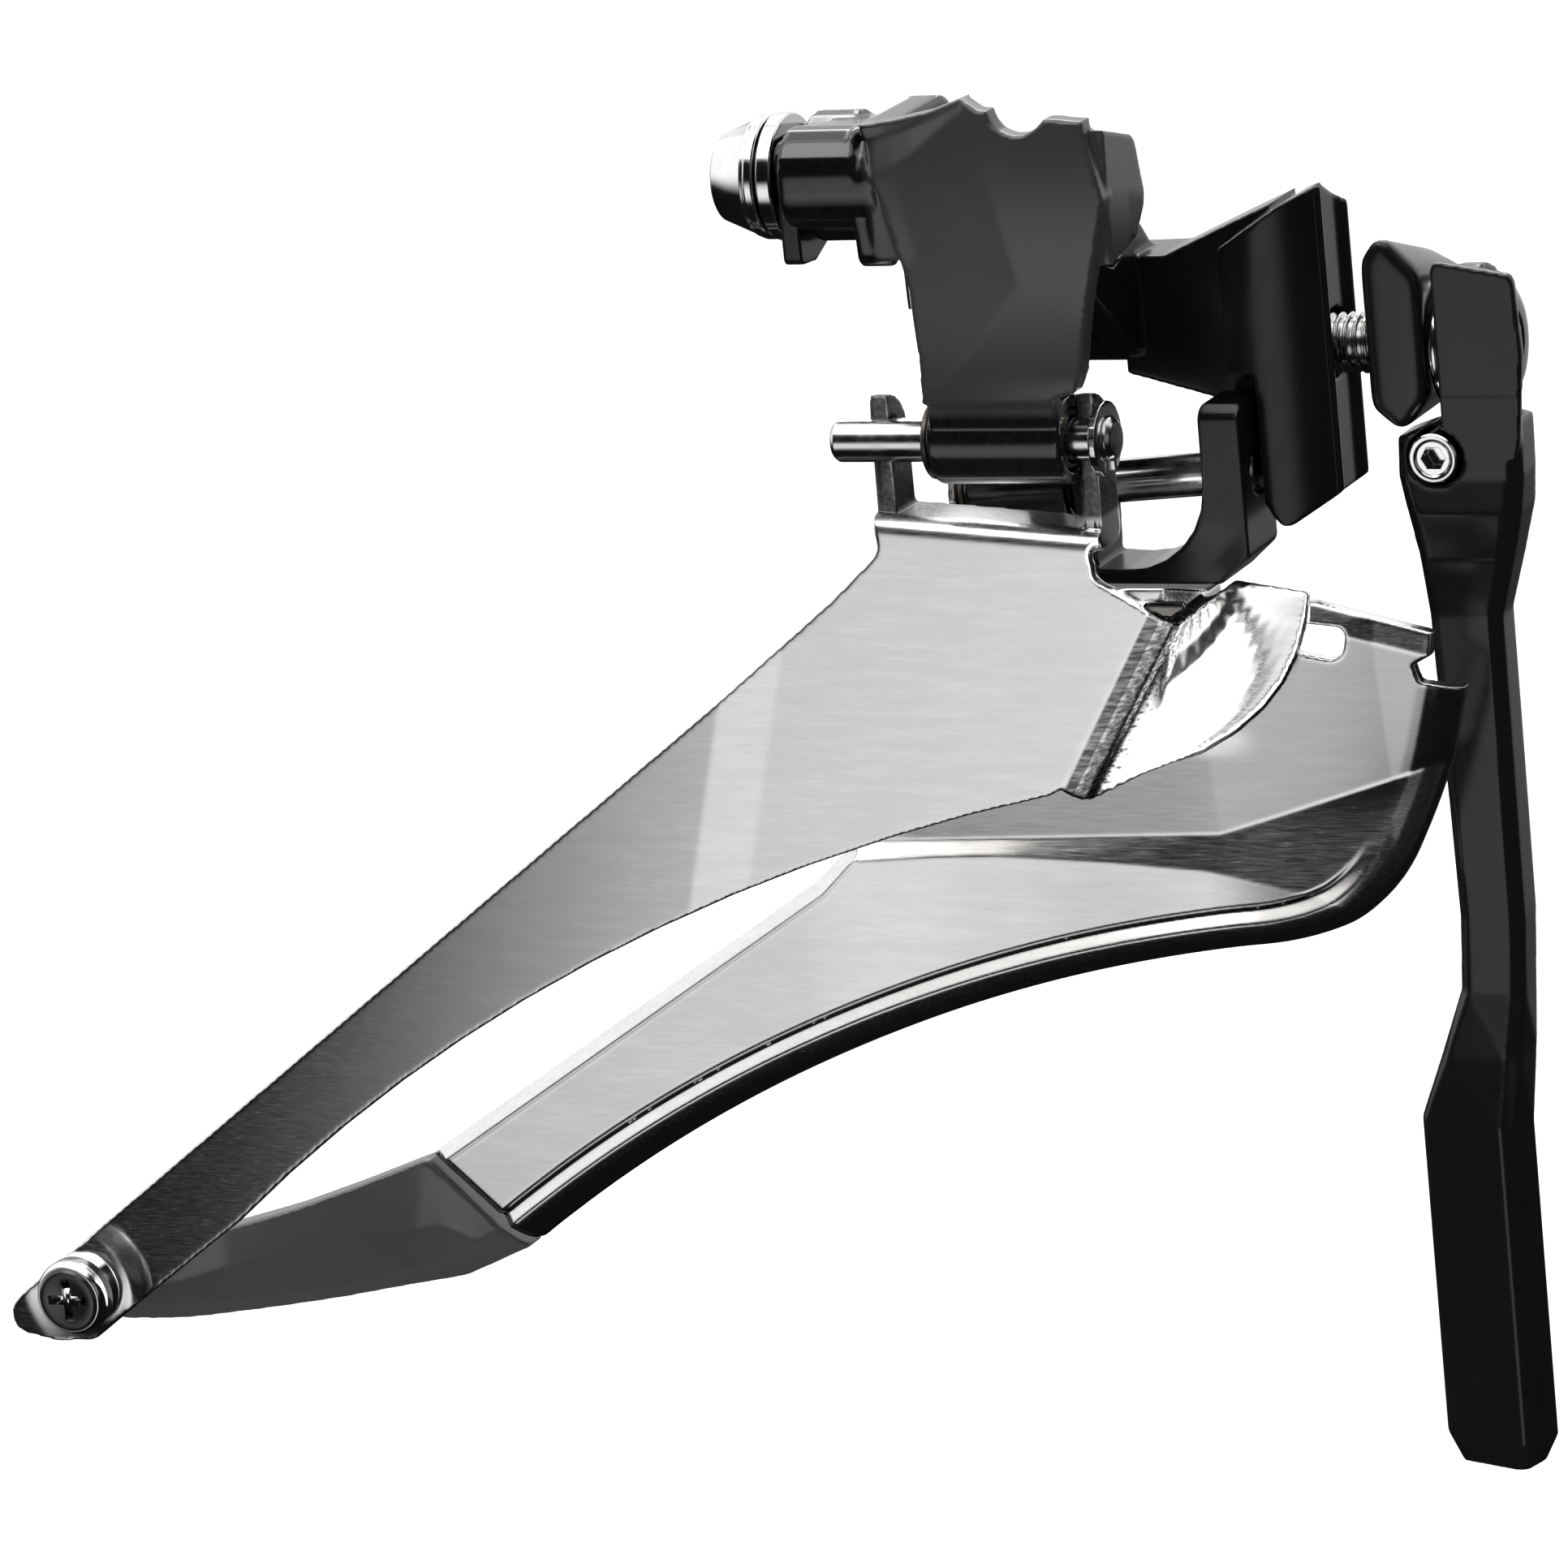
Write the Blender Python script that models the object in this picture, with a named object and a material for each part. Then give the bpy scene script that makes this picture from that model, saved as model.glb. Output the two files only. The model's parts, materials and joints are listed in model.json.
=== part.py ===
"""Front derailleur with a brazed-on mount and a chain catcher, as separate named parts.

Lengths are in millimetres until a mesh is made. X points to the front of the bicycle, along
the mounting bolt. Y points inboard, towards the frame. Z points up. The origin is where the
bolt's axis meets the saddle.
"""
from math import atan2, cos, pi, radians, sin, tan

import bmesh
import bpy
from mathutils import Matrix, Vector

MM = 0.001
ROUND_STEPS = 24      # sides of a pin, bush or bore
CORNER_STEPS = 4      # segments in a rounded corner

# Linkage, in the Y-Z plane. The inner pins rise towards the front.
OUTER_UPPER = Vector((-20.0, -18.5, 15.8))
LINK_DROP = 19.2
OUTER_LOWER = OUTER_UPPER + Vector((0.0, 0.5, -LINK_DROP))
INNER_TILT = radians(4.3)
INNER_LOWER = Vector((-19.4, -6.0, -9.86))
INNER_UPPER = INNER_LOWER + Vector((-LINK_DROP * sin(INNER_TILT), -0.5, LINK_DROP * cos(INNER_TILT)))
INNER_REACH = (0.5, -LINK_DROP)      # the lower pin's place, seen along the upper one

# Pins and bushes, by radius.
PIN = 1.75
BUSH_BORE = 1.9
BUSH = 2.4
BUSH_SEAT = 2.55
PIN_HOLE = 1.9
FLANGE = 3.1
BARREL = 3.6

# Mount, along X.
BOLT = 2.45
BOLT_HOLE = 2.75
BOLT_HEAD = 5.0
BOLT_SEAT = 12.7      # where the bolt's head bears on the catcher arm
BASE_REAR = 3.4
BASE_FRONT = 9.1
SADDLE_RADIUS = 14.0
SADDLE_STEPS = 24
BLOCK_HALF_WIDTH = 6.8

# Body.
LUG_FRONT = -15.6     # front of the lug that carries the upper pins
LUG_REAR = -27.0
SCREW_PLACES = {"low_limit_screw": (-22.6, -10.5), "high_limit_screw": (-17.4, -10.5)}
SCREW_SEAT = 17.0     # height of the flat under the limit screws' heads

# Outer link. Its front plate leans outboard up to the crest, then back in.
LINK_BOTTOM = -3.4
LINK_CREST = 11.0
LINK_TOP = 24.6
LINK_BULGE = 3.3
LINK_TIP_LEAN = 1.2
ANCHOR = (-10.0, 16.2)
ANCHOR_HOLE = 2.7

# Cage.
SHEET = 1.2
OUTER_FACE = -20.0
INNER_FACE = -7.0
KINK_X = -44.0        # the outer plate turns inboard behind here
TAIL_SLOPE = 0.052
TAIL_SCREW = (-114.2, -78.0)
TAIL_HOLE = 1.9
BEND_TOP = Vector((-9.9, -16.8))
BEND_FOOT = Vector((-18.7, -31.3))
SHELF_REAR = -19.8
SHELF_FRONT = -8.6
RIM = 3.2             # depth of the inner plate's rolled edge
RIVETS = {"bridge_rivet_front": (-11.8, -22.9), "bridge_rivet_rear": (-17.4, -22.9)}
RIVET_HOLE = 1.3

# Chain catcher.
ARM_REAR = 10.4
CATCHER_SCREW = (9.6, -7.8)
PADDLE_TURN = radians(17)

AXES = {"X": (1, 2, 0), "Y": (0, 2, 1), "Z": (0, 1, 2)}


# ---------------------------------------------------------------- outlines

def rounded(corners, steps=CORNER_STEPS):
    """Closed outline through (a, b, radius) corners, with each corner an arc of that radius."""
    outline = []
    for index, (a, b, radius) in enumerate(corners):
        corner = Vector((a, b))
        before = Vector(corners[index - 1][:2]) - corner
        after = Vector(corners[(index + 1) % len(corners)][:2]) - corner
        if radius == 0:
            outline.append(corner)
            continue
        half = before.angle(after) / 2
        centre = corner + (before.normalized() + after.normalized()).normalized() * radius / sin(half)
        start = corner + before.normalized() * radius / tan(half) - centre
        end = corner + after.normalized() * radius / tan(half) - centre
        first = atan2(start.y, start.x)
        sweep = (atan2(end.y, end.x) - first + pi) % (2 * pi) - pi
        for step in range(steps + 1):
            outline.append(centre + spoke(radius, first + sweep * step / steps))
    return outline


def spoke(radius, angle):
    return Vector((radius * cos(angle), radius * sin(angle)))


def arc(centre, radius, first, last, steps):
    """Points on an arc, with both ends, from angle first to angle last in degrees."""
    return [Vector(centre) + spoke(radius, radians(first + (last - first) * step / steps))
            for step in range(steps + 1)]


def sharp(points):
    """The points as corners with no radius."""
    return [(point[0], point[1], 0) for point in points]


def circle(centre, radius, steps=ROUND_STEPS):
    return [Vector(centre) + spoke(radius, 2 * pi * step / steps) for step in range(steps)]


def wrapped(discs, steps=ROUND_STEPS):
    """Outline of a belt pulled tight round (a, b, radius) discs."""
    points = sorted({(round(p.x, 4), round(p.y, 4))
                     for a, b, radius in discs for p in circle((a, b), radius, steps)})
    halves = []
    for run in (points, points[::-1]):
        hull = []
        for point in run:
            while len(hull) > 1 and turn(hull[-2], hull[-1], point) <= 0:
                hull.pop()
            hull.append(point)
        halves += hull[:-1]
    return [Vector(point) for point in halves]


def turn(first, second, third):
    return ((second[0] - first[0]) * (third[1] - first[1])
            - (second[1] - first[1]) * (third[0] - first[0]))


def inset(outline, distance):
    """The outline moved inwards by a distance, whichever way round it runs."""
    area = sum(outline[i - 1].x * outline[i].y - outline[i].x * outline[i - 1].y
               for i in range(len(outline)))
    side = 1 if area > 0 else -1
    moved = []
    for index, point in enumerate(outline):
        before = (point - outline[index - 1]).normalized()
        after = (outline[(index + 1) % len(outline)] - point).normalized()
        normal = Vector((-before.y - after.y, before.x + after.x)).normalized() * side
        lean = max(0.4, normal.dot(Vector((-before.y, before.x)) * side))
        moved.append(point + normal * distance / lean)
    return moved


# ---------------------------------------------------------------- solids

def loft(name, rings):
    """Closed solid through rings with the same number of points, capped at both ends."""
    mesh = bmesh.new()
    loops = [[mesh.verts.new(Vector(point) * MM) for point in ring] for ring in rings]
    for lower, upper in zip(loops, loops[1:]):
        for index in range(len(lower)):
            mesh.faces.new((lower[index - 1], lower[index], upper[index], upper[index - 1]))
    mesh.faces.new(loops[0])
    mesh.faces.new(loops[-1][::-1])
    bmesh.ops.recalc_face_normals(mesh, faces=mesh.faces)
    data = bpy.data.meshes.new(name)
    mesh.to_mesh(data)
    mesh.free()
    solid = bpy.data.objects.new(name, data)
    bpy.context.collection.objects.link(solid)
    return solid


def place(axis, point, along):
    """The 3-D point for an outline point and a distance along the axis."""
    placed = Vector((0.0, 0.0, 0.0))
    first, second, third = AXES[axis]
    placed[first] = point[0]
    placed[second] = point[1]
    placed[third] = along
    return placed


def prism(name, outline, axis, start, end):
    return loft(name, [[place(axis, point, along) for point in outline] for along in (start, end)])


def turned(name, axis, centre, profile, steps=ROUND_STEPS):
    """Turned solid. Its profile is a list of (along, radius) pairs."""
    rings = [[place(axis, point, along) for point in circle(centre, radius, steps)]
             for along, radius in profile]
    return loft(name, rings)


def rod(name, axis, centre, radius, start, end, steps=ROUND_STEPS):
    return turned(name, axis, centre, [(start, radius), (end, radius)], steps)


def box(name, low, high):
    corners = [(low[0], low[1]), (high[0], low[1]), (high[0], high[1]), (low[0], high[1])]
    return prism(name, corners, "Z", low[2], high[2])


def combine(target, operation, tools):
    for tool in tools:
        tool.hide_render = True
        tool.display_type = "WIRE"
        step = target.modifiers.new(tool.name, "BOOLEAN")
        step.operation = operation
        step.object = tool


def add(target, *tools):
    combine(target, "UNION", tools)


def cut(target, *tools):
    combine(target, "DIFFERENCE", tools)


def keep_inside(target, *tools):
    combine(target, "INTERSECT", tools)


def slice_at(solid, axis, places):
    """Adds edges round the solid where planes across the axis meet it, so it can be bent there."""
    mesh = bmesh.new()
    mesh.from_mesh(solid.data)
    normal = place(axis, (0.0, 0.0), 1.0)
    for along in places:
        geometry = mesh.verts[:] + mesh.edges[:] + mesh.faces[:]
        bmesh.ops.bisect_plane(mesh, geom=geometry, plane_co=normal * along * MM, plane_no=normal)
    mesh.to_mesh(solid.data)
    mesh.free()


def shift_inboard(solid, amount):
    """Moves each vertex along Y by amount(x, z), all in millimetres."""
    for vertex in solid.data.vertices:
        vertex.co.y += amount(vertex.co.x / MM, vertex.co.z / MM) * MM


# ---------------------------------------------------------------- joints and materials

def joint(name, centre, tilt=0.0):
    """Empty on a joint's axis. A tilt raises the front end of its X axis."""
    empty = bpy.data.objects.new(name, None)
    empty.empty_display_size = 4 * MM
    empty.location = Vector(centre) * MM
    empty.rotation_euler = (0.0, -tilt, 0.0)
    bpy.context.collection.objects.link(empty)
    return empty


def hang(empty, *solids):
    """Parents solids that are modelled in world places, and leaves them there."""
    for solid in solids:
        solid.parent = empty
        solid.matrix_parent_inverse = empty.matrix_basis.inverted()


def mount_on(empty, *solids):
    """Parents solids that are modelled along the empty's own X axis, from its centre."""
    for solid in solids:
        solid.parent = empty


def finish(solid, colour, roughness, metallic):
    material = bpy.data.materials.new(solid.name)
    material.use_nodes = True
    shader = material.node_tree.nodes["Principled BSDF"]
    shader.inputs["Base Color"].default_value = (*colour, 1.0)
    shader.inputs["Roughness"].default_value = roughness
    shader.inputs["Metallic"].default_value = metallic
    material.diffuse_color = (*colour, 1.0)
    solid.data.materials.append(material)


def black(*solids):
    for solid in solids:
        finish(solid, (0.03, 0.03, 0.032), 0.38, 0.3)


def grey(*solids):
    for solid in solids:
        finish(solid, (0.07, 0.07, 0.073), 0.42, 0.4)


def steel(*solids):
    for solid in solids:
        finish(solid, (0.62, 0.61, 0.6), 0.3, 1.0)


def chrome(*solids):
    for solid in solids:
        finish(solid, (0.8, 0.8, 0.81), 0.12, 1.0)


def bronze(*solids):
    for solid in solids:
        finish(solid, (0.42, 0.3, 0.16), 0.45, 0.9)


def fit_pin_holes(target, empty, start, end, radius, centre=(0, 0)):
    """Bores the target along a joint's X axis, or along a line beside it."""
    bore = rod(target.name + "_" + empty.name + "_bore_" + str(start), "X", centre, radius, start, end)
    mount_on(empty, bore)
    cut(target, bore)


# ---------------------------------------------------------------- body and mount

def build_body(outer_axis, inner_axis):
    body = prism("body", rounded([
        (2.0, 14.0, 0.5), (-1.4, 12.5, 4.0), (-7.1, 8.9, 0), (-7.1, -9.4, 0), (-5.4, -10.2, 0.8),
        (-3.2, -13.7, 1.0), (2.4, -10.2, 1.0)]), "Y", -BLOCK_HALF_WIDTH, BLOCK_HALF_WIDTH)
    inboard_slope = prism("body_inboard_slope", [Vector(p) for p in (
        (2.2, 2.6), (8.0, 2.6), (8.0, 8.0), (-5.0, 8.0))], "Z", -16.0, 16.0)
    top_slope = prism("body_top_slope", [Vector(p) for p in (
        (-4.5, 15.0), (8.0, 8.6), (8.0, 16.0), (-4.5, 16.0))], "X", -8.0, 4.0)
    arm = prism("body_arm", [Vector(p) for p in (
        (-4.0, 11.6), (-7.1, 10.3), (-13.0, 7.7), (-17.0, 7.6), (-17.0, -1.9), (-13.0, -3.0),
        (-8.0, -4.4), (-4.0, -4.4))], "Y", -2.2, 4.5)
    hull = [(OUTER_UPPER.y, OUTER_UPPER.z, 2.9), (-9.5, 13.4, 3.7), (INNER_UPPER.y, INNER_UPPER.z, 3.7),
            (1.0, 3.0, 4.4)]
    carrier = prism("body_carrier", wrapped(hull), "X", LUG_REAR, LUG_FRONT)
    notch = box("body_notch", (-9.2, -7.5, -15.0), (-4.6, -1.8, -1.0))
    facet = 360 / SADDLE_STEPS
    saddle = prism("body_saddle", arc((SADDLE_RADIUS, 0.0), SADDLE_RADIUS / cos(radians(facet / 2)),
                                      facet / 2, 360 - facet / 2, SADDLE_STEPS - 1), "Z", -16.0, 15.0)
    bolt_bore = rod("body_bolt_bore", "X", (0, 0), BOLT_HOLE, -6.6, 3.0)
    cut(body, inboard_slope, top_slope, notch)
    add(body, arm, carrier)
    cut(body, saddle, bolt_bore)

    # Room for the inner link's upper barrel, the spring and the screws.
    slot_disc = rod("body_slot_disc", "X", (0, 0), 4.3, -4.2, 1.7)
    slot_gap = box("body_slot_gap", (-4.2, -7.0, -14.0), (1.7, 2.9, 0.0))
    mount_on(inner_axis, slot_disc, slot_gap)
    spring_room = rod("body_spring_room", "X", (OUTER_UPPER.y, OUTER_UPPER.z), 4.2, -28.0, -20.7)
    cut(body, slot_disc, slot_gap, spring_room)
    for name, (x, y) in SCREW_PLACES.items():
        cut(body, rod("body_" + name + "_hole", "Z", (x, y), 1.5, 14.2, 20.0, 16))
        cut(body, rod("body_" + name + "_seat", "Z", (x, y), 2.4, SCREW_SEAT - 0.6, 20.0, 16))
    fit_pin_holes(body, outer_axis, -1.0, 6.0, BUSH_SEAT)
    fit_pin_holes(body, inner_axis, -9.0, 8.0, PIN_HOLE)
    grey(body)
    return body


def build_mount():
    bolt = turned("mounting_bolt", "X", (0, 0), [
        (-6.2, 2.0), (-5.6, BOLT), (BOLT_SEAT, BOLT), (BOLT_SEAT, BOLT_HEAD), (13.6, BOLT_HEAD),
        (14.4, 4.2), (14.7, 3.4)])
    cut(bolt, rod("mounting_bolt_socket", "X", (0, 0), 2.0, BOLT_SEAT, 16.0, 6))
    base = prism("catcher_base", rounded([
        (BASE_REAR, 6.6, 1.2), (6.0, 9.9, 0.8), (BASE_FRONT, 6.7, 0.8), (BASE_FRONT, -3.4, 0.8),
        (6.8, -6.2, 0.8), (BASE_REAR, -3.4, 1.2)]), "Y", -5.6, 5.6)
    crown = rod("catcher_base_crown", "Z", (BASE_REAR + SADDLE_RADIUS, 0), SADDLE_RADIUS, -12.0, 12.0, 48)
    keep_inside(base, crown)
    cut(base, rod("catcher_base_bore", "X", (0, 0), BOLT_HOLE, 0.0, 11.0))
    washer = rod("catcher_washer", "X", (0, 0), 4.5, BASE_FRONT + 0.3, BASE_FRONT + 1.0)
    cut(washer, rod("catcher_washer_bore", "X", (0, 0), BOLT_HOLE, 7.0, 12.0))
    black(bolt, base)
    chrome(washer)


def build_catcher(bolt_axis):
    """Arm with a head on the bolt, a cheek that covers the bolt's head, a slim shank and a
    paddle turned about its own length."""
    def ring(z, front, rear, outboard, inboard, twist=0.0):
        centre = Vector(((front + rear) / 2, (outboard + inboard) / 2))
        half = ((front - rear) / 2, (inboard - outboard) / 2)
        corner = min(half) * 0.35
        square = rounded([(-half[0], -half[1], corner), (half[0], -half[1], corner),
                          (half[0], half[1], corner), (-half[0], half[1], corner)], 1)
        spun = Matrix.Rotation(twist, 2)
        return [Vector((*(centre + spun @ point), z)) for point in square]

    head = prism("catcher_arm", wrapped([(0, 0, 6.2), (-1.2, 0, 5.2)]), "X", ARM_REAR, BOLT_SEAT - 0.1)
    cheek = prism("catcher_arm_cheek", rounded([
        (ARM_REAR, 7.8, 0.6), (17.0, 6.6, 0.8), (17.3, 0.5, 3.0), (16.6, -6.5, 3.0), (16.2, -8.0, 0),
        (ARM_REAR, -8.0, 0)]), "Y", -6.4, -5.4)
    shank = loft("catcher_arm_shank", [
        ring(-5.1, 16.5, 9.9, -6.3, -1.0), ring(-6.3, 16.5, 6.4, -6.3, -1.0),
        ring(-9.5, 16.4, 6.2, -6.3, -1.0), ring(-12.5, 15.7, 6.4, -5.6, 0.6),
        ring(-17.0, 13.8, 6.0, -2.4, 2.9), ring(-22.0, 12.1, 6.1, -1.2, 3.6),
        ring(-47.0, 12.0, 6.6, -1.2, 3.8), ring(-53.0, 11.7, 6.3, -1.4, 3.4),
        ring(-58.5, 11.4, 4.4, -1.8, 3.0, -PADDLE_TURN / 2), ring(-64.0, 11.2, 2.2, -2.3, 2.2, -PADDLE_TURN),
        ring(-91.0, 11.2, 2.2, -2.3, 2.2, -PADDLE_TURN), ring(-93.4, 10.0, 3.4, -1.9, 1.8, -PADDLE_TURN)])
    add(head, cheek, shank)
    cut(head, rod("catcher_arm_bore", "X", (0, 0), BOLT_HOLE, 8.0, 16.0),
        rod("catcher_arm_recess", "X", (0, 0), BOLT_HEAD + 0.3, BOLT_SEAT - 0.4, 18.0),
        rod("catcher_arm_screw_hole", "Y", CATCHER_SCREW, 2.3, -8.0, -1.6))
    screw = rod("catcher_screw", "Y", CATCHER_SCREW, 2.0, -6.8, -2.0)
    cut(screw, rod("catcher_screw_socket", "Y", CATCHER_SCREW, 1.0, -7.4, -5.0, 6))
    hang(bolt_axis, head, screw)
    black(head)
    chrome(screw)


def build_limit_screws():
    for name, (x, y) in SCREW_PLACES.items():
        axis = joint(name + "_axis", (x, y, SCREW_SEAT))
        screw = turned(name, "Z", (0, 0), [(-2.5, 1.0), (-2.1, 1.3), (-0.3, 1.3), (-0.3, 2.1),
                                           (0.7, 2.1), (1.1, 1.7)], 16)
        slots = [box(name + "_slot_" + str(turned_by), (-1.4, -0.25, 0.4), (1.4, 0.25, 2.0))
                 for turned_by in (0, 90)]
        slots[1].rotation_euler.z = pi / 2
        mount_on(axis, screw, *slots)
        cut(screw, *slots)
        chrome(screw)


# ---------------------------------------------------------------- links

def build_outer_link(upper_axis, lower_axis):
    """Broad front arm with a lower barrel, two upper ears and the boss of the cable lever."""
    link = prism("outer_link", [Vector(p) for p in (
        (-26.5, LINK_BOTTOM), (-25.6, 4.5), (-25.7, 9.9), (-27.3, 16.9), (-29.2, 22.6), (-26.0, 23.0),
        (-23.0, 23.6), (-20.2, 24.6), (-18.6, 23.6))]
        + arc((-15.6, 24.2), 2.5, 190, 330, 6)
        + [Vector(p) for p in ((-10.4, 22.6), (-8.9, 16.7), (-9.8, 12.8), (-12.4, 3.0),
                                 (-13.2, 1.4), (-15.4, 0.6), (-15.5, LINK_BOTTOM))],
        "Y", -21.5, -19.5)
    slice_at(link, "Z", [LINK_CREST])

    def lean(_, z):
        if z < LINK_CREST:
            return -LINK_BULGE * (z - LINK_BOTTOM) / (LINK_CREST - LINK_BOTTOM)
        return -LINK_BULGE + LINK_TIP_LEAN * (z - LINK_CREST) / (LINK_TOP - LINK_CREST)

    shift_inboard(link, lean)
    barrel = rod("outer_link_barrel", "X", OUTER_LOWER.yz, 3.5, -26.6, -15.5)
    front_ear = prism("outer_link_front_ear", rounded([
        (-22.8, 21.8, 0), (-16.3, 20.2, 1.5), (-14.9, 14.9, 2.0), (-17.6, 12.4, 1.2), (-23.2, 11.4, 0)]),
        "X", -12.4, -9.0)
    front_boss = rod("outer_link_front_boss", "X", OUTER_UPPER.yz, 3.1, -15.2, -12.0)
    rear_ear = prism("outer_link_rear_ear", wrapped([
        (-22.4, 12.5, 1.2), (-21.8, 21.0, 1.2), (-10.0, 19.8, 2.6), (OUTER_UPPER.y, OUTER_UPPER.z, 3.3)]),
        "X", -30.2, -27.5)
    rear_join = box("outer_link_rear_join", (-28.6, -23.6, 12.0), (-25.9, -22.3, 22.0))
    web = prism("outer_link_web", rounded([
        (-23.9, 22.6, 3.2), (-15.0, 21.4, 0), (-7.4, 20.6, 2.0), (-5.6, 15.0, 1.5), (-17.0, 13.2, 1.5),
        (-23.9, 14.8, 3.0)]), "X", -36.0, -28.0)
    boss = rod("outer_link_boss", "X", ANCHOR, 5.2, -38.3, -34.4)
    add(link, barrel, front_ear, front_boss, rear_ear, rear_join, web, boss)
    fit_pin_holes(link, upper_axis, -12.0, 10.1, PIN_HOLE)
    fit_pin_holes(link, lower_axis, -7.0, 5.0, BUSH_SEAT)
    cut(link, rod("outer_link_anchor_bore", "X", ANCHOR, ANCHOR_HOLE, -39.0, -31.8))
    hang(upper_axis, link)
    grey(link)
    return link


def build_cable_anchor(upper_axis):
    bolt = turned("cable_anchor_bolt", "X", ANCHOR, [
        (-46.6, 3.3), (-46.2, 3.8), (-43.0, 4.9), (-42.2, 5.0), (-42.2, 2.4), (-33.0, 2.4), (-32.4, 1.9)])
    cut(bolt, rod("cable_anchor_bolt_socket", "X", ANCHOR, 2.3, -48.0, -44.2, 6))
    washer = rod("anchor_washer", "X", ANCHOR, 5.1, -41.9, -40.6)
    plate = prism("cable_clamp_plate", rounded([
        (-14.6, 19.6, 1.5), (-5.6, 20.0, 1.5), (-5.8, 12.0, 1.2), (-11.6, 9.7, 0.6), (-14.6, 9.9, 0.6)]),
        "X", -40.3, -38.7)
    for part in (washer, plate):
        cut(part, rod(part.name + "_bore", "X", ANCHOR, ANCHOR_HOLE, -43.0, -38.0))
    hang(upper_axis, bolt, washer, plate)
    chrome(bolt, washer)
    black(plate)


def build_inner_link(inner_upper, inner_lower):
    """Modelled in the tilted frame of the upper inner pin."""
    link = prism("inner_link", wrapped([(0, 0, 2.4), (*INNER_REACH, 2.4)]), "X", -3.9, -1.0)
    upper_barrel = rod("inner_link_upper_barrel", "X", (0, 0), BARREL, -3.9, 1.4)
    lower_barrel = rod("inner_link_lower_barrel", "X", INNER_REACH, BARREL, -9.6, -1.0)
    add(link, upper_barrel, lower_barrel)
    mount_on(inner_upper, link, upper_barrel, lower_barrel)
    fit_pin_holes(link, inner_upper, -6.0, 3.0, BUSH_SEAT)
    fit_pin_holes(link, inner_upper, -12.0, 2.0, BUSH_SEAT, INNER_REACH)
    grey(link)


def bush(name, empty, centre, start, end, collar_radius=BUSH):
    """Sleeve along the empty's X axis, with a thin collar at its rear end if it has one."""
    sleeve = turned(name, "X", centre, [
        (start, collar_radius), (start + 0.5, collar_radius), (start + 0.5, BUSH), (end, BUSH)])
    bore = rod(name + "_bore", "X", centre, BUSH_BORE, start - 1, end + 1)
    cut(sleeve, bore)
    mount_on(empty, sleeve, bore)
    bronze(sleeve)


# ---------------------------------------------------------------- pins and spring

def clip(name, empty, along):
    """Horseshoe clip round a pin, open at the bottom."""
    plate = rod(name, "X", (0, 0), 3.0, along, along + 0.6)
    gap = box(name + "_gap", (along - 1, -1.0, -4.0), (along + 2, 1.0, 0.0))
    bore = rod(name + "_bore", "X", (0, 0), PIN + 0.1, along - 1, along + 2)
    mount_on(empty, plate, gap, bore)
    cut(plate, bore, gap)
    steel(plate)


def build_pins(outer_upper, outer_lower, inner_upper, inner_lower):
    pins = {
        "outer_upper_pin": (outer_upper, -10.6, 9.8),
        "inner_upper_pin": (inner_upper, -6.2, 5.6),
        "outer_lower_pin": (outer_lower, -15.7, 8.0),
        "inner_lower_pin": (inner_lower, -11.5, 14.4)}
    for name, (empty, start, end) in pins.items():
        pin = turned(name, "X", (0, 0), [(start, PIN - 0.3), (start + 0.3, PIN), (end - 0.3, PIN),
                                        (end, PIN - 0.3)])
        mount_on(empty, pin)
        steel(pin)
    bush("outer_upper_bush", outer_upper, (0, 0), -1.4, 4.3, FLANGE)
    bush("outer_lower_bush_front", outer_lower, (0, 0), 0.2, 4.4)
    bush("outer_lower_bush_rear", outer_lower, (0, 0), -7.3, -1.0, FLANGE)
    bush("inner_upper_bush", inner_upper, (0, 0), -3.8, 1.3)
    bush("inner_lower_bush", inner_upper, INNER_REACH, -10.3, -1.1, FLANGE)
    clip("outer_lower_clip", outer_lower, 6.7)
    clip("inner_lower_clip", inner_lower, -11.2)


def build_spring(upper_axis):
    """Torsion spring with one leg over the body and one behind the outer link."""
    coils = 4
    radius = 3.0
    pitch = 1.0
    start = -6.6
    steps = 16
    path = [Vector((start - 0.2, -2.3, -8.0)), Vector((start - 0.1, -2.8, -4.0))]
    for step in range(coils * steps + steps // 4 + 1):
        angle = pi - 2 * pi * step / steps
        path.append(Vector((start + pitch * step / steps, *spoke(radius, angle))))
    path.append(path[-1] + Vector((0.1, 4.0, 0.7)))
    curve = bpy.data.curves.new("return_spring", "CURVE")
    curve.dimensions = "3D"
    curve.bevel_depth = 0.42 * MM
    curve.bevel_resolution = 1
    curve.use_fill_caps = True
    wire = curve.splines.new("POLY")
    wire.points.add(len(path) - 1)
    for point, place_of in zip(wire.points, path):
        point.co = (*(place_of * MM), 1.0)
    spring = bpy.data.objects.new("return_spring", curve)
    bpy.context.collection.objects.link(spring)
    mount_on(upper_axis, spring)
    steel(spring)


# ---------------------------------------------------------------- cage

def tail_shift(x, _=0.0):
    """How far inboard the outer plate lies behind its kink."""
    return TAIL_SLOPE * max(0.0, KINK_X - x)


def outer_outline():
    lower_edge = arc((19.4, -207.5), 180.0, 102.5, 130.8, 12)
    tail = [(-109.0, -79.0, 0), (-114.4, -83.0, 1.5), (-118.0, -83.3, 1.5), (-124.4, -82.3, 1.6),
            (-121.4, -79.3, 1.5), (-47.2, -24.2, 0)]
    crown = [(-36.6, -15.9, 5.0), (-32.2, -12.0, 2.0), (-32.4, -9.0, 0), (-14.6, -10.5, 0),
             (-14.3, -14.2, 1.0)]
    return rounded(sharp([BEND_FOOT] + lower_edge) + tail + crown + sharp([BEND_TOP]))


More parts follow.
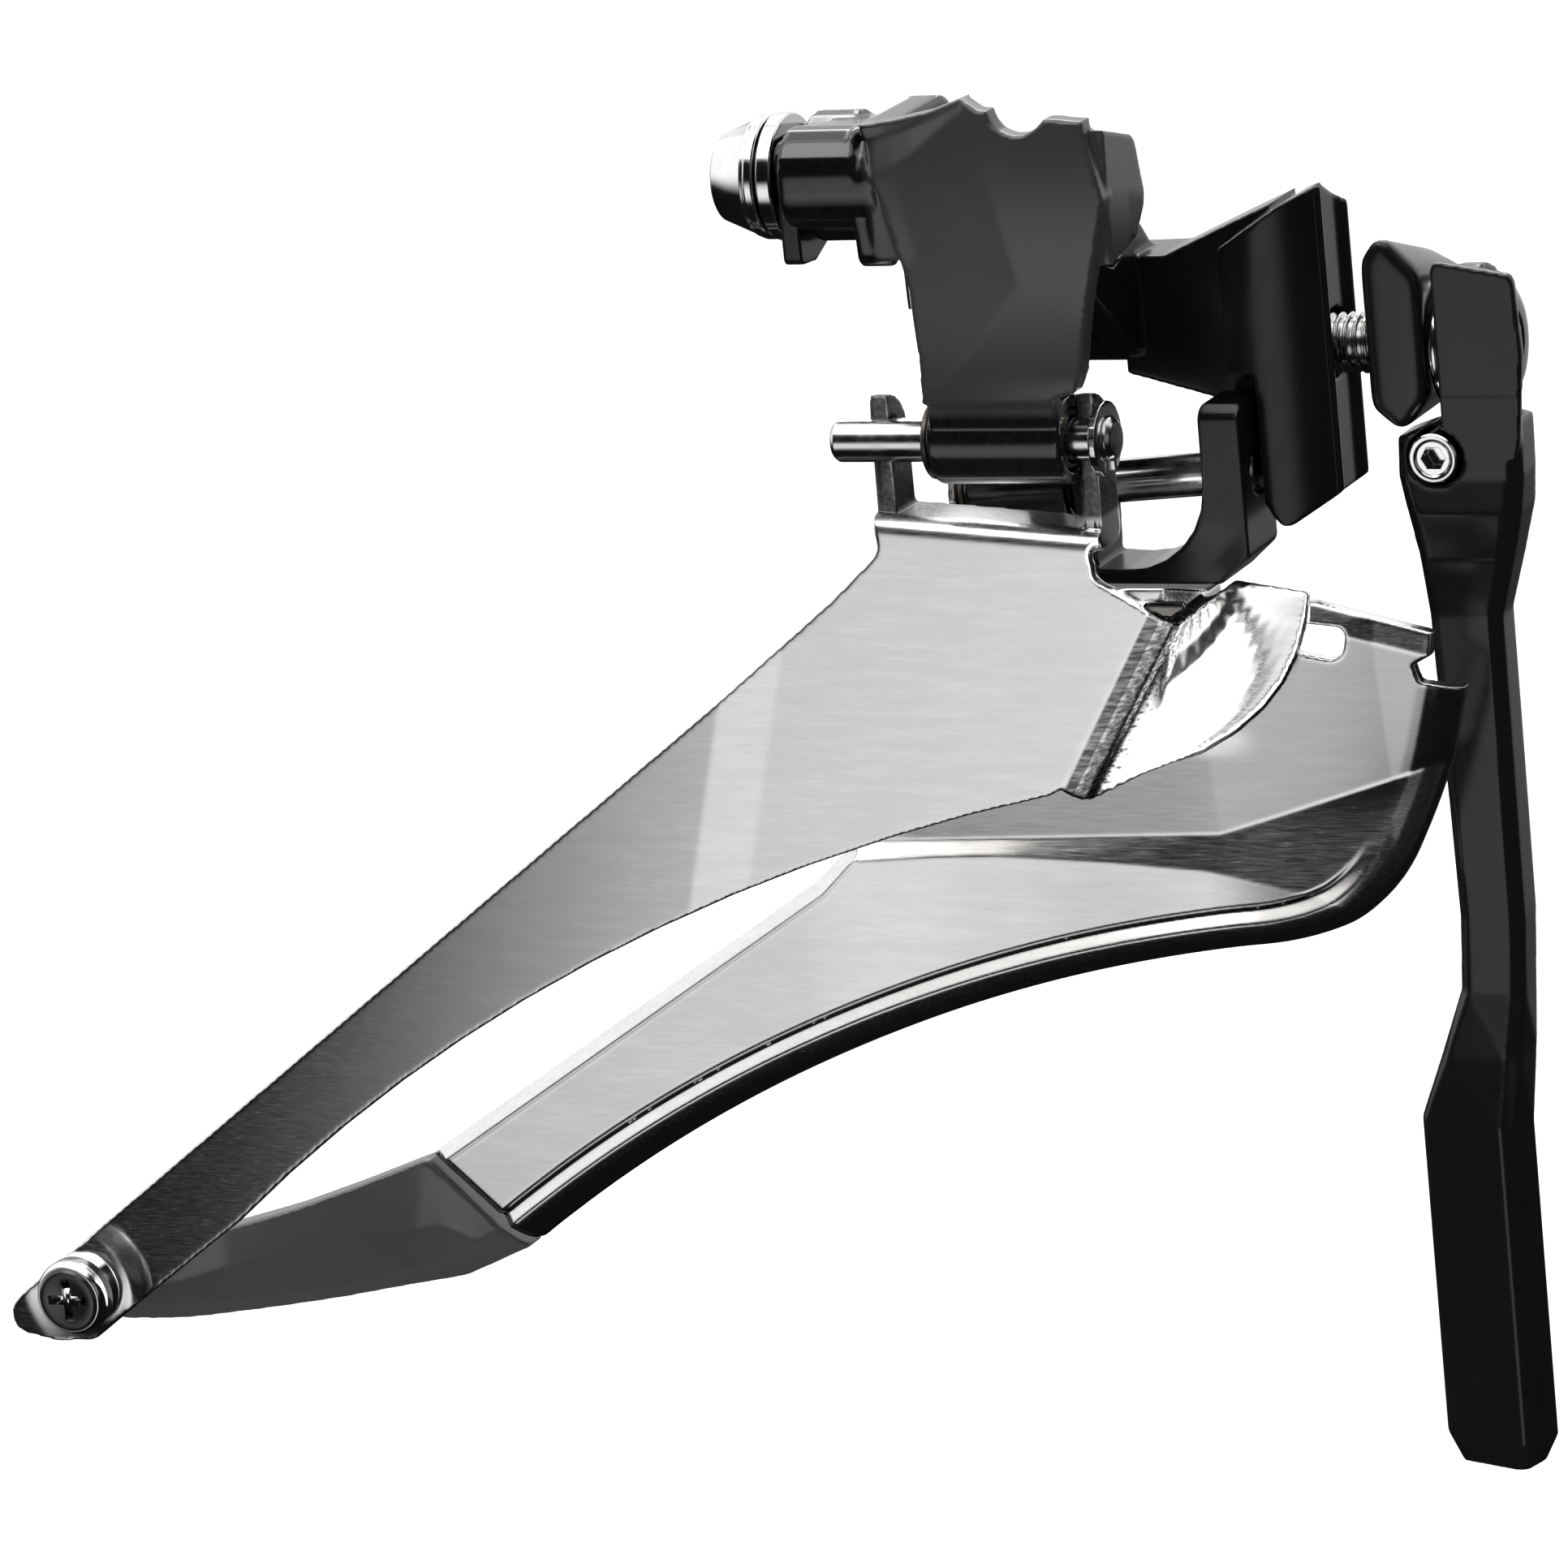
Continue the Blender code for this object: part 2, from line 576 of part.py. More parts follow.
def build_bridge():
    """Front edge of the outer plate: bends inboard and arches over the chain to the inner plate."""
    inner_side = INNER_FACE - 1.5
    rows = 8
    columns = 8
    bend = [(0.0, 0.0), (1.2, 0.15), (2.0, 0.8), (2.4, 1.8)]
    forward = Vector((0.855, -0.52))
    grid = []
    for row in range(rows + 1):
        share = row / rows
        start = BEND_TOP.lerp(BEND_FOOT, share)
        line = [Vector((*(start + forward * reach), OUTER_FACE + depth)) for reach, depth in bend]
        edge = line[-1]
        for column in range(1, columns + 1):
            across = column / columns
            crest = Vector((edge.x, edge.y)).lerp(Vector((-6.9, -17.0)), across)
            free = Vector((-0.9 - 14.7 * (1 - across) ** 2.4, -31.0 + 13.0 * across ** 1.4))
            flat = crest.lerp(free, share)
            line.append(Vector((flat.x, flat.y, edge.z + (inner_side - edge.z) * across)))
        grid.append([Vector((p.x, p.z, p.y)) for p in line])
    return sheet_solid("outer_plate_bridge", grid, SHEET)


def sheet_solid(name, grid, thickness):
    """Closed sheet of a thickness, laid behind a grid of points."""
    mesh = bmesh.new()
    verts = [[mesh.verts.new(point * MM) for point in row] for row in grid]
    for upper, lower in zip(verts, verts[1:]):
        for index in range(len(upper) - 1):
            mesh.faces.new((upper[index], lower[index], lower[index + 1], upper[index + 1]))
    mesh.normal_update()
    bmesh.ops.solidify(mesh, geom=mesh.faces[:], thickness=thickness * MM)
    bmesh.ops.recalc_face_normals(mesh, faces=mesh.faces)
    data = bpy.data.meshes.new(name)
    mesh.to_mesh(data)
    mesh.free()
    solid = bpy.data.objects.new(name, data)
    bpy.context.collection.objects.link(solid)
    return solid


def build_outer_plate(lower_axis):
    plate = prism("outer_plate", outer_outline(), "Y", OUTER_FACE, OUTER_FACE + SHEET)
    slice_at(plate, "X", [KINK_X])
    shift_inboard(plate, tail_shift)
    flange = prism("outer_plate_flange", [Vector(p) for p in (
        (-32.3, -9.1), (-14.2, -10.5), (-14.2, -11.7), (-32.3, -10.3))], "Y", OUTER_FACE + 0.1, -14.2)
    add(plate, flange)
    for name, front in (("outer_plate_rear_ear", -31.0), ("outer_plate_front_ear", -13.7)):
        ear = prism(name, wrapped([(*OUTER_LOWER.yz, 3.6), (-18.4, -11.0, 1.2), (-15.6, -11.0, 1.2)]),
                    "X", front - 1.5, front)
        add(plate, ear)
    shelf = prism("outer_plate_shelf", [Vector(p) for p in (
        (OUTER_FACE + 0.5, -14.9), (-10.2, -17.5), (-7.4, -17.6), (-7.4, -25.4), (-8.6, -25.4),
        (-8.6, -19.0), (OUTER_FACE + 0.5, -16.1))], "X", SHELF_REAR, SHELF_FRONT)
    add(plate, shelf, build_bridge())
    cut(plate, rod("outer_plate_tail_bore", "Y", TAIL_SCREW, TAIL_HOLE, -22.0, -12.0))
    for name, place_of in RIVETS.items():
        cut(plate, rod(name + "_outer_bore", "Y", place_of, RIVET_HOLE, -10.0, -7.0, 12))
    fit_pin_holes(plate, lower_axis, -14.0, 9.0, PIN_HOLE)
    hang(lower_axis, plate)
    steel(plate)


NOTCHED = [(8.7, -21.6, 0.6), (8.5, -23.4, 0), (7.0, -24.2, 0), (7.3, -25.6, 0), (10.5, -26.4, 0.6)]
PLAIN = [(7.2, -21.1, 0), (7.0, -25.6, 0), (9.6, -26.4, 0)]


def inner_outline(front):
    """Clockwise outline. The front is the short stretch above the nose."""
    bottom = sharp(arc((10.5, -189.8), 143.0, 95.5, 127.4, 14))
    nose = [(-22.0, -19.0, 0), (-0.5, -19.0, 0)] + front + [(7.6, -35.8, 6.0), (3.6, -43.8, 5.0)]
    tail = [(-84.8, -68.2, 0), (-46.3, -43.2, 0), (-43.4, -40.4, 0)]
    return rounded(nose + bottom + tail)


def build_inner_plate(lower_axis):
    plate = prism("inner_plate", inner_outline(NOTCHED), "Y", INNER_FACE, INNER_FACE + RIM)
    tray = prism("inner_plate_tray", inset(inner_outline(PLAIN), SHEET),
                 "Y", INNER_FACE + SHEET, INNER_FACE + RIM + 1)
    open_back = box("inner_plate_open_back", (-90.0, INNER_FACE + SHEET, -50.0), (-24.0, 0.0, -15.0))
    panel = prism("inner_plate_panel", [Vector(p) for p in ((-44.6, -41.6), (-12.0, -40.4), (-1.4, -43.2))]
                  + arc((10.5, -189.8), 146.5, 96.5, 125.6, 12)
                  + [Vector(p) for p in ((-83.0, -69.0), (-47.4, -45.8))],
                  "Y", INNER_FACE - 0.7, INNER_FACE + 0.4)
    add(plate, panel)
    cut(plate, tray, open_back)
    window = prism("inner_plate_window", rounded([
        (-2.8, -20.0, 0.8), (2.0, -20.6, 0.8), (1.3, -23.6, 1.2), (-2.4, -22.8, 1.0)]), "Y", -9.0, -3.0)
    cut(plate, window)
    for name, place_of in RIVETS.items():
        cut(plate, rod(name + "_inner_bore", "Y", place_of, RIVET_HOLE, -9.0, -4.0, 12))
    hang(lower_axis, plate)
    steel(plate)


def build_tail(lower_axis):
    guide = prism("tail_guide", rounded([
        (-85.2, -68.6, 0), (-90.8, -70.5, 0), (-96.2, -72.1, 0), (-102.0, -73.4, 0), (-111.0, -73.8, 2.0),
        (-118.4, -78.0, 3.0), (-114.4, -82.8, 2.0), (-103.0, -81.7, 0), (-94.5, -81.1, 0),
        (-84.4, -80.2, 3.0), (-77.2, -76.8, 0)]), "Y", -7.0, -4.2)
    slice_at(guide, "X", [-84.0, -88.0, -92.0, -96.0, -100.0, -104.0, -108.0])
    tip = OUTER_FACE + SHEET + tail_shift(TAIL_SCREW[0]) + 0.4

    def sweep(x, _):
        share = min(1.0, max(0.0, (-80.0 - x) / 28.0))
        return (tip + 7.0) * share * share * (3 - 2 * share) + TAIL_SLOPE * max(0.0, -108.0 - x)

    shift_inboard(guide, sweep)
    cut(guide, rod("tail_guide_bore", "Y", TAIL_SCREW, TAIL_HOLE, -18.0, -8.0))
    face = OUTER_FACE + tail_shift(TAIL_SCREW[0]) - 0.35
    washer = turned("tail_washer", "Y", TAIL_SCREW, [(face, 3.2), (face - 0.7, 3.2), (face - 1.6, 2.6)])
    cut(washer, rod("tail_washer_bore", "Y", TAIL_SCREW, TAIL_HOLE, face - 3, face + 1))
    head = face - 1.75
    screw = turned("tail_screw", "Y", TAIL_SCREW, [
        (head - 2.4, 1.6), (head - 2.1, 2.6), (head - 1.2, 3.25), (head, 3.3), (head, 1.6), (head + 8.0, 1.6)])
    for index, (wide, tall) in enumerate(((0.4, 1.7), (1.7, 0.4))):
        x, z = TAIL_SCREW
        cut(screw, box("tail_screw_cross_" + str(index), (x - wide, head - 3.0, z - tall),
                       (x + wide, head - 1.1, z + tall)))
    hang(lower_axis, guide, washer, screw)
    black(guide, screw)
    chrome(washer)


def build_bracket(lower_axis, inner_lower):
    """Strip bent up at the front, with a second ear, that carries the inner lower pin."""
    strip = prism("cage_bracket", rounded([
        (-20.0, -15.9, 0.3), (-8.7, -16.3, 6.8), (-8.5, -2.8, 0.3), (-5.1, -2.8, 0.3),
        (-5.1, -15.0, 0.8), (-7.6, -17.2, 0.8), (-20.0, -17.2, 0.3)], 6), "Y", -9.8, -3.0)
    rear_ear = prism("cage_bracket_rear_ear", wrapped([
        (INNER_LOWER.y, INNER_LOWER.z, 3.3), (-8.0, -15.2, 1.2), (-4.4, -15.2, 1.2)]), "X", -19.8, -18.2)
    rounding = prism("cage_bracket_top", rounded([
        (-10.3, -19.0, 0), (-2.5, -19.0, 0), (-2.5, -2.6, 2.6), (-10.3, -2.6, 2.6)]), "X", -21.0, -4.0)
    add(strip, rear_ear)
    keep_inside(strip, rounding)
    fit_pin_holes(strip, inner_lower, -4.0, 16.0, PIN_HOLE)
    hang(lower_axis, strip)
    black(strip)
    for name, (x, z) in RIVETS.items():
        rivet = turned(name, "Y", (x, z), [(-9.6, 0.9), (-9.2, 1.8), (-8.75, 2.0), (-8.75, 1.15),
                                          (-5.6, 1.15), (-5.6, 2.0), (-5.0, 1.8)], 12)
        hang(lower_axis, rivet)
        steel(rivet)


# ---------------------------------------------------------------- entry

def main():
    for old in list(bpy.data.objects):
        bpy.data.objects.remove(old, do_unlink=True)
    outer_upper = joint("outer_upper_axis", OUTER_UPPER)
    outer_lower = joint("outer_lower_axis", OUTER_LOWER)
    inner_upper = joint("inner_upper_axis", INNER_UPPER, INNER_TILT)
    inner_lower = joint("inner_lower_axis", INNER_LOWER, INNER_TILT)
    bolt_axis = joint("bolt_axis", (0.0, 0.0, 0.0))
    build_body(outer_upper, inner_upper)
    build_mount()
    build_catcher(bolt_axis)
    build_limit_screws()
    build_outer_link(outer_upper, outer_lower)
    build_cable_anchor(outer_upper)
    build_inner_link(inner_upper, inner_lower)
    build_pins(outer_upper, outer_lower, inner_upper, inner_lower)
    build_spring(outer_upper)
    build_outer_plate(outer_lower)
    build_inner_plate(outer_lower)
    build_tail(outer_lower)
    build_bracket(outer_lower, inner_lower)


main()
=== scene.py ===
"""Looks of the front derailleur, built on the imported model.

Lengths are in millimetres until a mesh is made. X points to the front of the bicycle, Y points
inboard, away from the camera, and Z points up. The origin is where the mounting bolt meets the
saddle.
"""

import json
from math import atan2, cos, hypot, pi, radians, sin, tan

import bmesh
import bpy
import numpy as np
from mathutils import Matrix, Vector


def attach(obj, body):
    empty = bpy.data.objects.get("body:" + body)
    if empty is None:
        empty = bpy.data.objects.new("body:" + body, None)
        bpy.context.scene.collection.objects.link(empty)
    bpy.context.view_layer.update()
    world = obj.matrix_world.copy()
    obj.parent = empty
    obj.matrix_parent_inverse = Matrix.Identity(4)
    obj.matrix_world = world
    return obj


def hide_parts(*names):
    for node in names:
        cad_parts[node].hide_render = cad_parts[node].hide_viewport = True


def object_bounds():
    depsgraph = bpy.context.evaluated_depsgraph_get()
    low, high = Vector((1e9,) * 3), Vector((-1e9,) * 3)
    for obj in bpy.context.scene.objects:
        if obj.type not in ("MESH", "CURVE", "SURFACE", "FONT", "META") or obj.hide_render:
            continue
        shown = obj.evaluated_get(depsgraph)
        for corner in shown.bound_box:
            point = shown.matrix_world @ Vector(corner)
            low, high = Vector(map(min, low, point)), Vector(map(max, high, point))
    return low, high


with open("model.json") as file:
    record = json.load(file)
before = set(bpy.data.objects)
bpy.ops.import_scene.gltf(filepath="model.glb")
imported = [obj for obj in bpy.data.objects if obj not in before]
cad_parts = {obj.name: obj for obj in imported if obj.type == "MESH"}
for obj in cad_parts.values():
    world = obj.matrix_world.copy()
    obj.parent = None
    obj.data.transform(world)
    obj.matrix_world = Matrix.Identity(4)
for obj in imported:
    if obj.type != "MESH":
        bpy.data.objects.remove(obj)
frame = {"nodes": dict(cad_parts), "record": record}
CAD_BOX = [list(corner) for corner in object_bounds()]

MM = 0.001
WELD = 1e-6

# Camera: the way it faces, its roll, its distance and the point it looks at.
AZIMUTH = radians(25)
ELEVATION = radians(15)
ROLL = radians(5.9)
DISTANCE = 600.0
TARGET = Vector((-46.19, -11.83, -33.53))
FOCAL_LENGTH = 169.9
SENSOR = 36.0

LIGHT_AIM = Vector((-40.0, -10.0, -30.0))
FLOOR_GAP = 12.0
FLOOR_REACH = 4000.0

# Joint axes of the linkage: a point on each, the inner link's length and its axes' tilt.
OUTER_UPPER = Vector((-20.0, -18.5, 15.8))
OUTER_LOWER = Vector((-20.0, -18.0, -3.4))
INNER_LOWER = Vector((-19.4, -6.0, -9.86))
LINK_DROP = 19.2
INNER_TILT = radians(4.3)
INNER_UPPER = INNER_LOWER + Vector((-LINK_DROP * sin(INNER_TILT), -0.5, LINK_DROP * cos(INNER_TILT)))


# ---------------------------------------------------------------- meshes

def new_piece(name, mesh):
    """Object that holds a bmesh, shaded smooth."""
    data = bpy.data.meshes.new(name)
    mesh.to_mesh(data)
    mesh.free()
    data.shade_smooth()
    piece = bpy.data.objects.new(name, data)
    bpy.context.scene.collection.objects.link(piece)
    return piece


def copy_of(node, name):
    """New object with the welded mesh of a CAD node."""
    mesh = bmesh.new()
    mesh.from_mesh(frame["nodes"][node].data)
    bmesh.ops.remove_doubles(mesh, verts=mesh.verts, dist=WELD)
    return new_piece(name, mesh)


def apply_modifiers(piece):
    """Keeps the mesh that the modifiers make, shaded smooth."""
    evaluated = piece.evaluated_get(bpy.context.evaluated_depsgraph_get())
    data = bpy.data.meshes.new_from_object(evaluated)
    piece.modifiers.clear()
    piece.data = data
    data.shade_smooth()


def remesh(piece, voxel):
    """Rebuilds the surface from small voxels, so that it can be reshaped finely."""
    step = piece.modifiers.new("remesh", "REMESH")
    step.mode = "VOXEL"
    step.voxel_size = voxel * MM
    apply_modifiers(piece)


def relax(piece, passes):
    """Rounds the edges a little more with each pass."""
    step = piece.modifiers.new("relax", "SMOOTH")
    step.factor = 0.5
    step.iterations = passes
    apply_modifiers(piece)


def reshape(piece, move):
    """Moves all vertices at once: move takes and returns an array of points in millimetres."""
    points = np.empty(len(piece.data.vertices) * 3)
    piece.data.vertices.foreach_get("co", points)
    moved = move(points.reshape(-1, 3) / MM) * MM
    piece.data.vertices.foreach_set("co", moved.ravel())
    piece.data.update()


def softened(node, name, voxel, passes, move=None, before=None):
    """Fine copy of a CAD node with rounded edges: before reshapes the coarse mesh, move the fine one."""
    piece = copy_of(node, name)
    if before:
        reshape(piece, before)
    remesh(piece, voxel)
    if move:
        reshape(piece, move)
    relax(piece, passes)
    return piece


# ---------------------------------------------------------------- outlines

def rounded(corners, steps=6):
    """Closed outline through (a, b, radius) corners, with each corner an arc of that radius."""
    outline = []
    for index, (a, b, radius) in enumerate(corners):
        corner = Vector((a, b))
        before = Vector(corners[index - 1][:2]) - corner
        after = Vector(corners[(index + 1) % len(corners)][:2]) - corner
        if radius == 0:
            outline.append(corner)
            continue
        half = before.angle(after) / 2
        centre = corner + (before.normalized() + after.normalized()).normalized() * radius / sin(half)
        start = corner + before.normalized() * radius / tan(half) - centre
        end = corner + after.normalized() * radius / tan(half) - centre
        first = atan2(start.y, start.x)
        sweep = (atan2(end.y, end.x) - first + pi) % (2 * pi) - pi
        for step in range(steps + 1):
            outline.append(centre + spoke(radius, first + sweep * step / steps))
    return outline


def spoke(radius, angle):
    """Vector of a length at an angle."""
    return Vector((radius * cos(angle), radius * sin(angle)))


def arc(centre, radius, first, last, steps):
    """Points on an arc, with both ends, from angle first to angle last in degrees."""
    return [Vector(centre) + spoke(radius, radians(first + (last - first) * step / steps))
            for step in range(steps + 1)]


def sharp(points):
    """The points as corners with no radius."""
    return [(point[0], point[1], 0) for point in points]


def distance_to(line, places):
    """Distance of each (x, z) place to a line of points."""
    nearest = np.full(len(places), np.inf)
    for start, end in zip(line, line[1:]):
        start, run = np.array(start), np.array(end) - np.array(start)
        share = np.clip((places - start) @ run / (run @ run), 0.0, 1.0)
        gap = places - start - share[:, None] * run
        nearest = np.minimum(nearest, np.hypot(gap[:, 0], gap[:, 1]))
    return nearest


def through(line, values):
    """Height of a line of (place, height) points at some places."""
    return np.interp(values, [point[0] for point in line], [point[1] for point in line])


def ramp(values, start, end):
    """0 below start, 1 above end and a smooth rise between them."""
    share = np.clip((values - start) / (end - start), 0.0, 1.0)
    return share * share * (3 - 2 * share)


# ---------------------------------------------------------------- solids

AXES = {"X": (1, 2, 0), "Y": (0, 2, 1), "Z": (0, 1, 2)}


def place(axis, point, along):
    """The 3-D point for an outline point and a distance along the axis."""
    placed = Vector((0.0, 0.0, 0.0))
    first, second, third = AXES[axis]
    placed[first] = point[0]
    placed[second] = point[1]
    placed[third] = along
    return placed


def loft(name, rings):
    """Closed solid through rings with the same number of points, capped at both ends."""
    mesh = bmesh.new()
    loops = [[mesh.verts.new(Vector(point) * MM) for point in ring] for ring in rings]
    for lower, upper in zip(loops, loops[1:]):
        for index in range(len(lower)):
            mesh.faces.new((lower[index - 1], lower[index], upper[index], upper[index - 1]))
    mesh.faces.new(loops[0])
    mesh.faces.new(loops[-1][::-1])
    bmesh.ops.recalc_face_normals(mesh, faces=mesh.faces)
    return new_piece(name, mesh)


def prism(name, outline, axis, start, end):
    """Closed solid with one outline all along an axis."""
    return loft(name, [[place(axis, point, along) for point in outline] for along in (start, end)])


def tilted(piece, centre, angle):
    """Moves a piece built round the origin to a joint's axis, with its front end raised by an angle."""
    turn = Matrix.Translation(Vector(centre) * MM) @ Matrix.Rotation(-angle, 4, "Y")
    piece.data.transform(turn)
    return piece


def turned(name, axis, centre, profile, steps=96):
    """Turned solid. Its profile is a list of (along, radius) pairs."""
    rings = [[place(axis, Vector(centre) + spoke(radius, 2 * pi * step / steps), along)
              for step in range(steps)] for along, radius in profile]
    return loft(name, rings)


def tube(name, axis, centre, profile, steps=96):
    """Turned ring. Its profile is a closed loop of (along, radius) pairs."""
    mesh = bmesh.new()
    loops = [[mesh.verts.new(place(axis, Vector(centre) + spoke(radius, 2 * pi * step / steps), along) * MM)
              for step in range(steps)] for along, radius in profile]
    for lower, upper in zip(loops, loops[1:] + loops[:1]):
        for index in range(steps):
            mesh.faces.new((lower[index - 1], lower[index], upper[index], upper[index - 1]))
    bmesh.ops.recalc_face_normals(mesh, faces=mesh.faces)
    return new_piece(name, mesh)


def threaded(name, centre, radius, depth, pitch, start, end, steps=48):
    """Screw thread along X: a helical groove of a depth below the radius, with plain tapered ends."""
    rows = int((end - start) / pitch * 12)
    rings = []
    for row in range(rows + 1):
        along = start + (end - start) * row / rows
        fade = min(1.0, row / 6, (rows - row) / 6)
        ring = []
        for step in range(steps):
            phase = (along / pitch - step / steps) % 1.0
            groove = depth * (abs(2 * phase - 1) * 1.25 - 0.125)
            reach = radius - min(depth, max(0.0, groove)) * fade - depth * (1 - fade)
            ring.append(place("X", Vector(centre) + spoke(reach, 2 * pi * step / steps), along))
        rings.append(ring)
    return loft(name, rings)


def crisp(piece, width):
    """Breaks the sharp edges with a small round and keeps the faces between them flat."""
    step = piece.modifiers.new("edge", "BEVEL")
    step.width = width * MM
    step.segments = 2
    step.limit_method = "ANGLE"
    step.angle_limit = radians(30)
    step.harden_normals = True
    apply_modifiers(piece)
    return piece


def joined(name, *pieces):
    """One mesh made of several pieces."""
    mesh = bmesh.new()
    for piece in pieces:
        mesh.from_mesh(piece.data)
        bpy.data.objects.remove(piece)
    return new_piece(name, mesh)


def cut(target, *tools):
    """Takes the tools away from the target, and removes them."""
    for tool in tools:
        step = target.modifiers.new(tool.name, "BOOLEAN")
        step.object = tool
    apply_modifiers(target)
    for tool in tools:
        bpy.data.objects.remove(tool)


# ---------------------------------------------------------------- materials

def new_material(name, colour, metallic, roughness):
    """A material and its shader."""
    material = bpy.data.materials.new(name)
    material.use_nodes = True
    shader = material.node_tree.nodes["Principled BSDF"]
    shader.inputs["Base Color"].default_value = (*colour, 1.0)
    shader.inputs["Metallic"].default_value = metallic
    shader.inputs["Roughness"].default_value = roughness
    return material, shader


def noise_at(material, scale, stretch=(1.0, 1.0, 1.0), detail=3.0, rough=0.55):
    """Noise in the piece's own coordinates, with features about a millimetre wide over scale."""
    nodes, links = material.node_tree.nodes, material.node_tree.links
    where = nodes.new("ShaderNodeTexCoord")
    mapping = nodes.new("ShaderNodeMapping")
    mapping.inputs["Scale"].default_value = stretch
    texture = nodes.new("ShaderNodeTexNoise")
    texture.inputs["Scale"].default_value = scale / MM
    texture.inputs["Detail"].default_value = detail
    texture.inputs["Roughness"].default_value = rough
    links.new(where.outputs["Object"], mapping.inputs["Vector"])
    links.new(mapping.outputs["Vector"], texture.inputs["Vector"])
    return texture.outputs["Fac"]


def between(material, value, low, high, start=0.3, end=0.7):
    """Number from low to high as a texture value goes from start to end."""
    nodes, links = material.node_tree.nodes, material.node_tree.links
    spread = nodes.new("ShaderNodeMapRange")
    spread.inputs["From Min"].default_value = start
    spread.inputs["From Max"].default_value = end
    spread.inputs["To Min"].default_value = low
    spread.inputs["To Max"].default_value = high
    links.new(value, spread.inputs["Value"])
    return spread.outputs["Result"]


def blended(material, value, first, second, start=0.3, end=0.7):
    """Colour from first to second as a texture value goes from start to end."""
    nodes, links = material.node_tree.nodes, material.node_tree.links
    fade = nodes.new("ShaderNodeValToRGB")
    for stop, position, colour in zip(fade.color_ramp.elements, (start, end), (first, second)):
        stop.position = position
        stop.color = (*colour, 1.0)
    links.new(value, fade.inputs["Fac"])
    return fade.outputs["Color"]


def mixed(material, factor, first, second):
    """Mix of two colour outputs by a factor output."""
    nodes, links = material.node_tree.nodes, material.node_tree.links
    mix = nodes.new("ShaderNodeMix")
    mix.data_type = "RGBA"
    links.new(factor, mix.inputs["Factor"])
    links.new(first, mix.inputs["A"])
    links.new(second, mix.inputs["B"])
    return mix.outputs["Result"]


def edge_mask(material, start, end):
    """1 on convex edges, by the mesh's own curvature. Numbers under 0.5 pick out hollows."""
    geometry = material.node_tree.nodes.new("ShaderNodeNewGeometry")
    return between(material, geometry.outputs["Pointiness"], 0.0, 1.0, start, end)


def bump(material, shader, height, strength, distance):
    """Fine relief on the surface, with its depth in millimetres."""
    nodes, links = material.node_tree.nodes, material.node_tree.links
    relief = nodes.new("ShaderNodeBump")
    relief.inputs["Strength"].default_value = strength
    relief.inputs["Distance"].default_value = distance * MM
    links.new(height, relief.inputs["Height"])
    links.new(relief.outputs["Normal"], shader.inputs["Normal"])


def satin_black(name, colour, rough, gloss, shine=0.5, wear=0.35):
    """Painted or anodised alloy: fine orange-peel, faint colour drift and paler worn edges."""
    material, shader = new_material(name, colour, 0.0, rough)
    links = material.node_tree.links
    shader.inputs["Specular IOR Level"].default_value = shine
    shader.inputs["Coat Weight"].default_value = gloss
    shader.inputs["Coat Roughness"].default_value = 0.12
    drift = noise_at(material, 0.08, detail=2.0)
    dark = tuple(c * 0.88 for c in colour)
    pale = tuple(c * 1.15 for c in colour)
    base = blended(material, drift, dark, pale, 0.2, 0.8)
    worn = blended(material, noise_at(material, 1.6), tuple(c * 1.2 for c in colour),
                   tuple(c + wear * 0.02 for c in colour))
    links.new(mixed(material, edge_mask(material, 0.56, 0.7), base, worn), shader.inputs["Base Color"])
    speckle = noise_at(material, 6.0, detail=2.0)
    links.new(between(material, drift, rough - 0.03, rough + 0.03, 0.2, 0.8), shader.inputs["Roughness"])
    bump(material, shader, speckle, 0.12, 0.02)
    return material


def share_along(material, axis, start, end):
    """0 to 1 between two places along an axis, in millimetres."""
    nodes, links = material.node_tree.nodes, material.node_tree.links
    where = nodes.new("ShaderNodeTexCoord")
    split = nodes.new("ShaderNodeSeparateXYZ")
    links.new(where.outputs["Object"], split.inputs["Vector"])
    return between(material, split.outputs[axis], 0.0, 1.0, start * MM, end * MM)


def darker_part(material, share, colour, rough):
    """Fades the colour and the roughness to others where share is 1, for a duller finish and for painted
    shade.
    """
    nodes, links = material.node_tree.nodes, material.node_tree.links
    shader = nodes["Principled BSDF"]
    cloudy = blended(material, noise_at(material, 2.5, detail=4.0), tuple(c * 0.5 for c in colour),
                     tuple(c * 1.6 for c in colour))
    base = shader.inputs["Base Color"].links[0].from_socket
    links.new(mixed(material, share, base, cloudy), shader.inputs["Base Color"])
    finish = nodes.new("ShaderNodeMix")
    links.new(share, finish.inputs["Factor"])
    links.new(shader.inputs["Roughness"].links[0].from_socket, finish.inputs["A"])
    finish.inputs["B"].default_value = rough
    links.new(finish.outputs["Result"], shader.inputs["Roughness"])


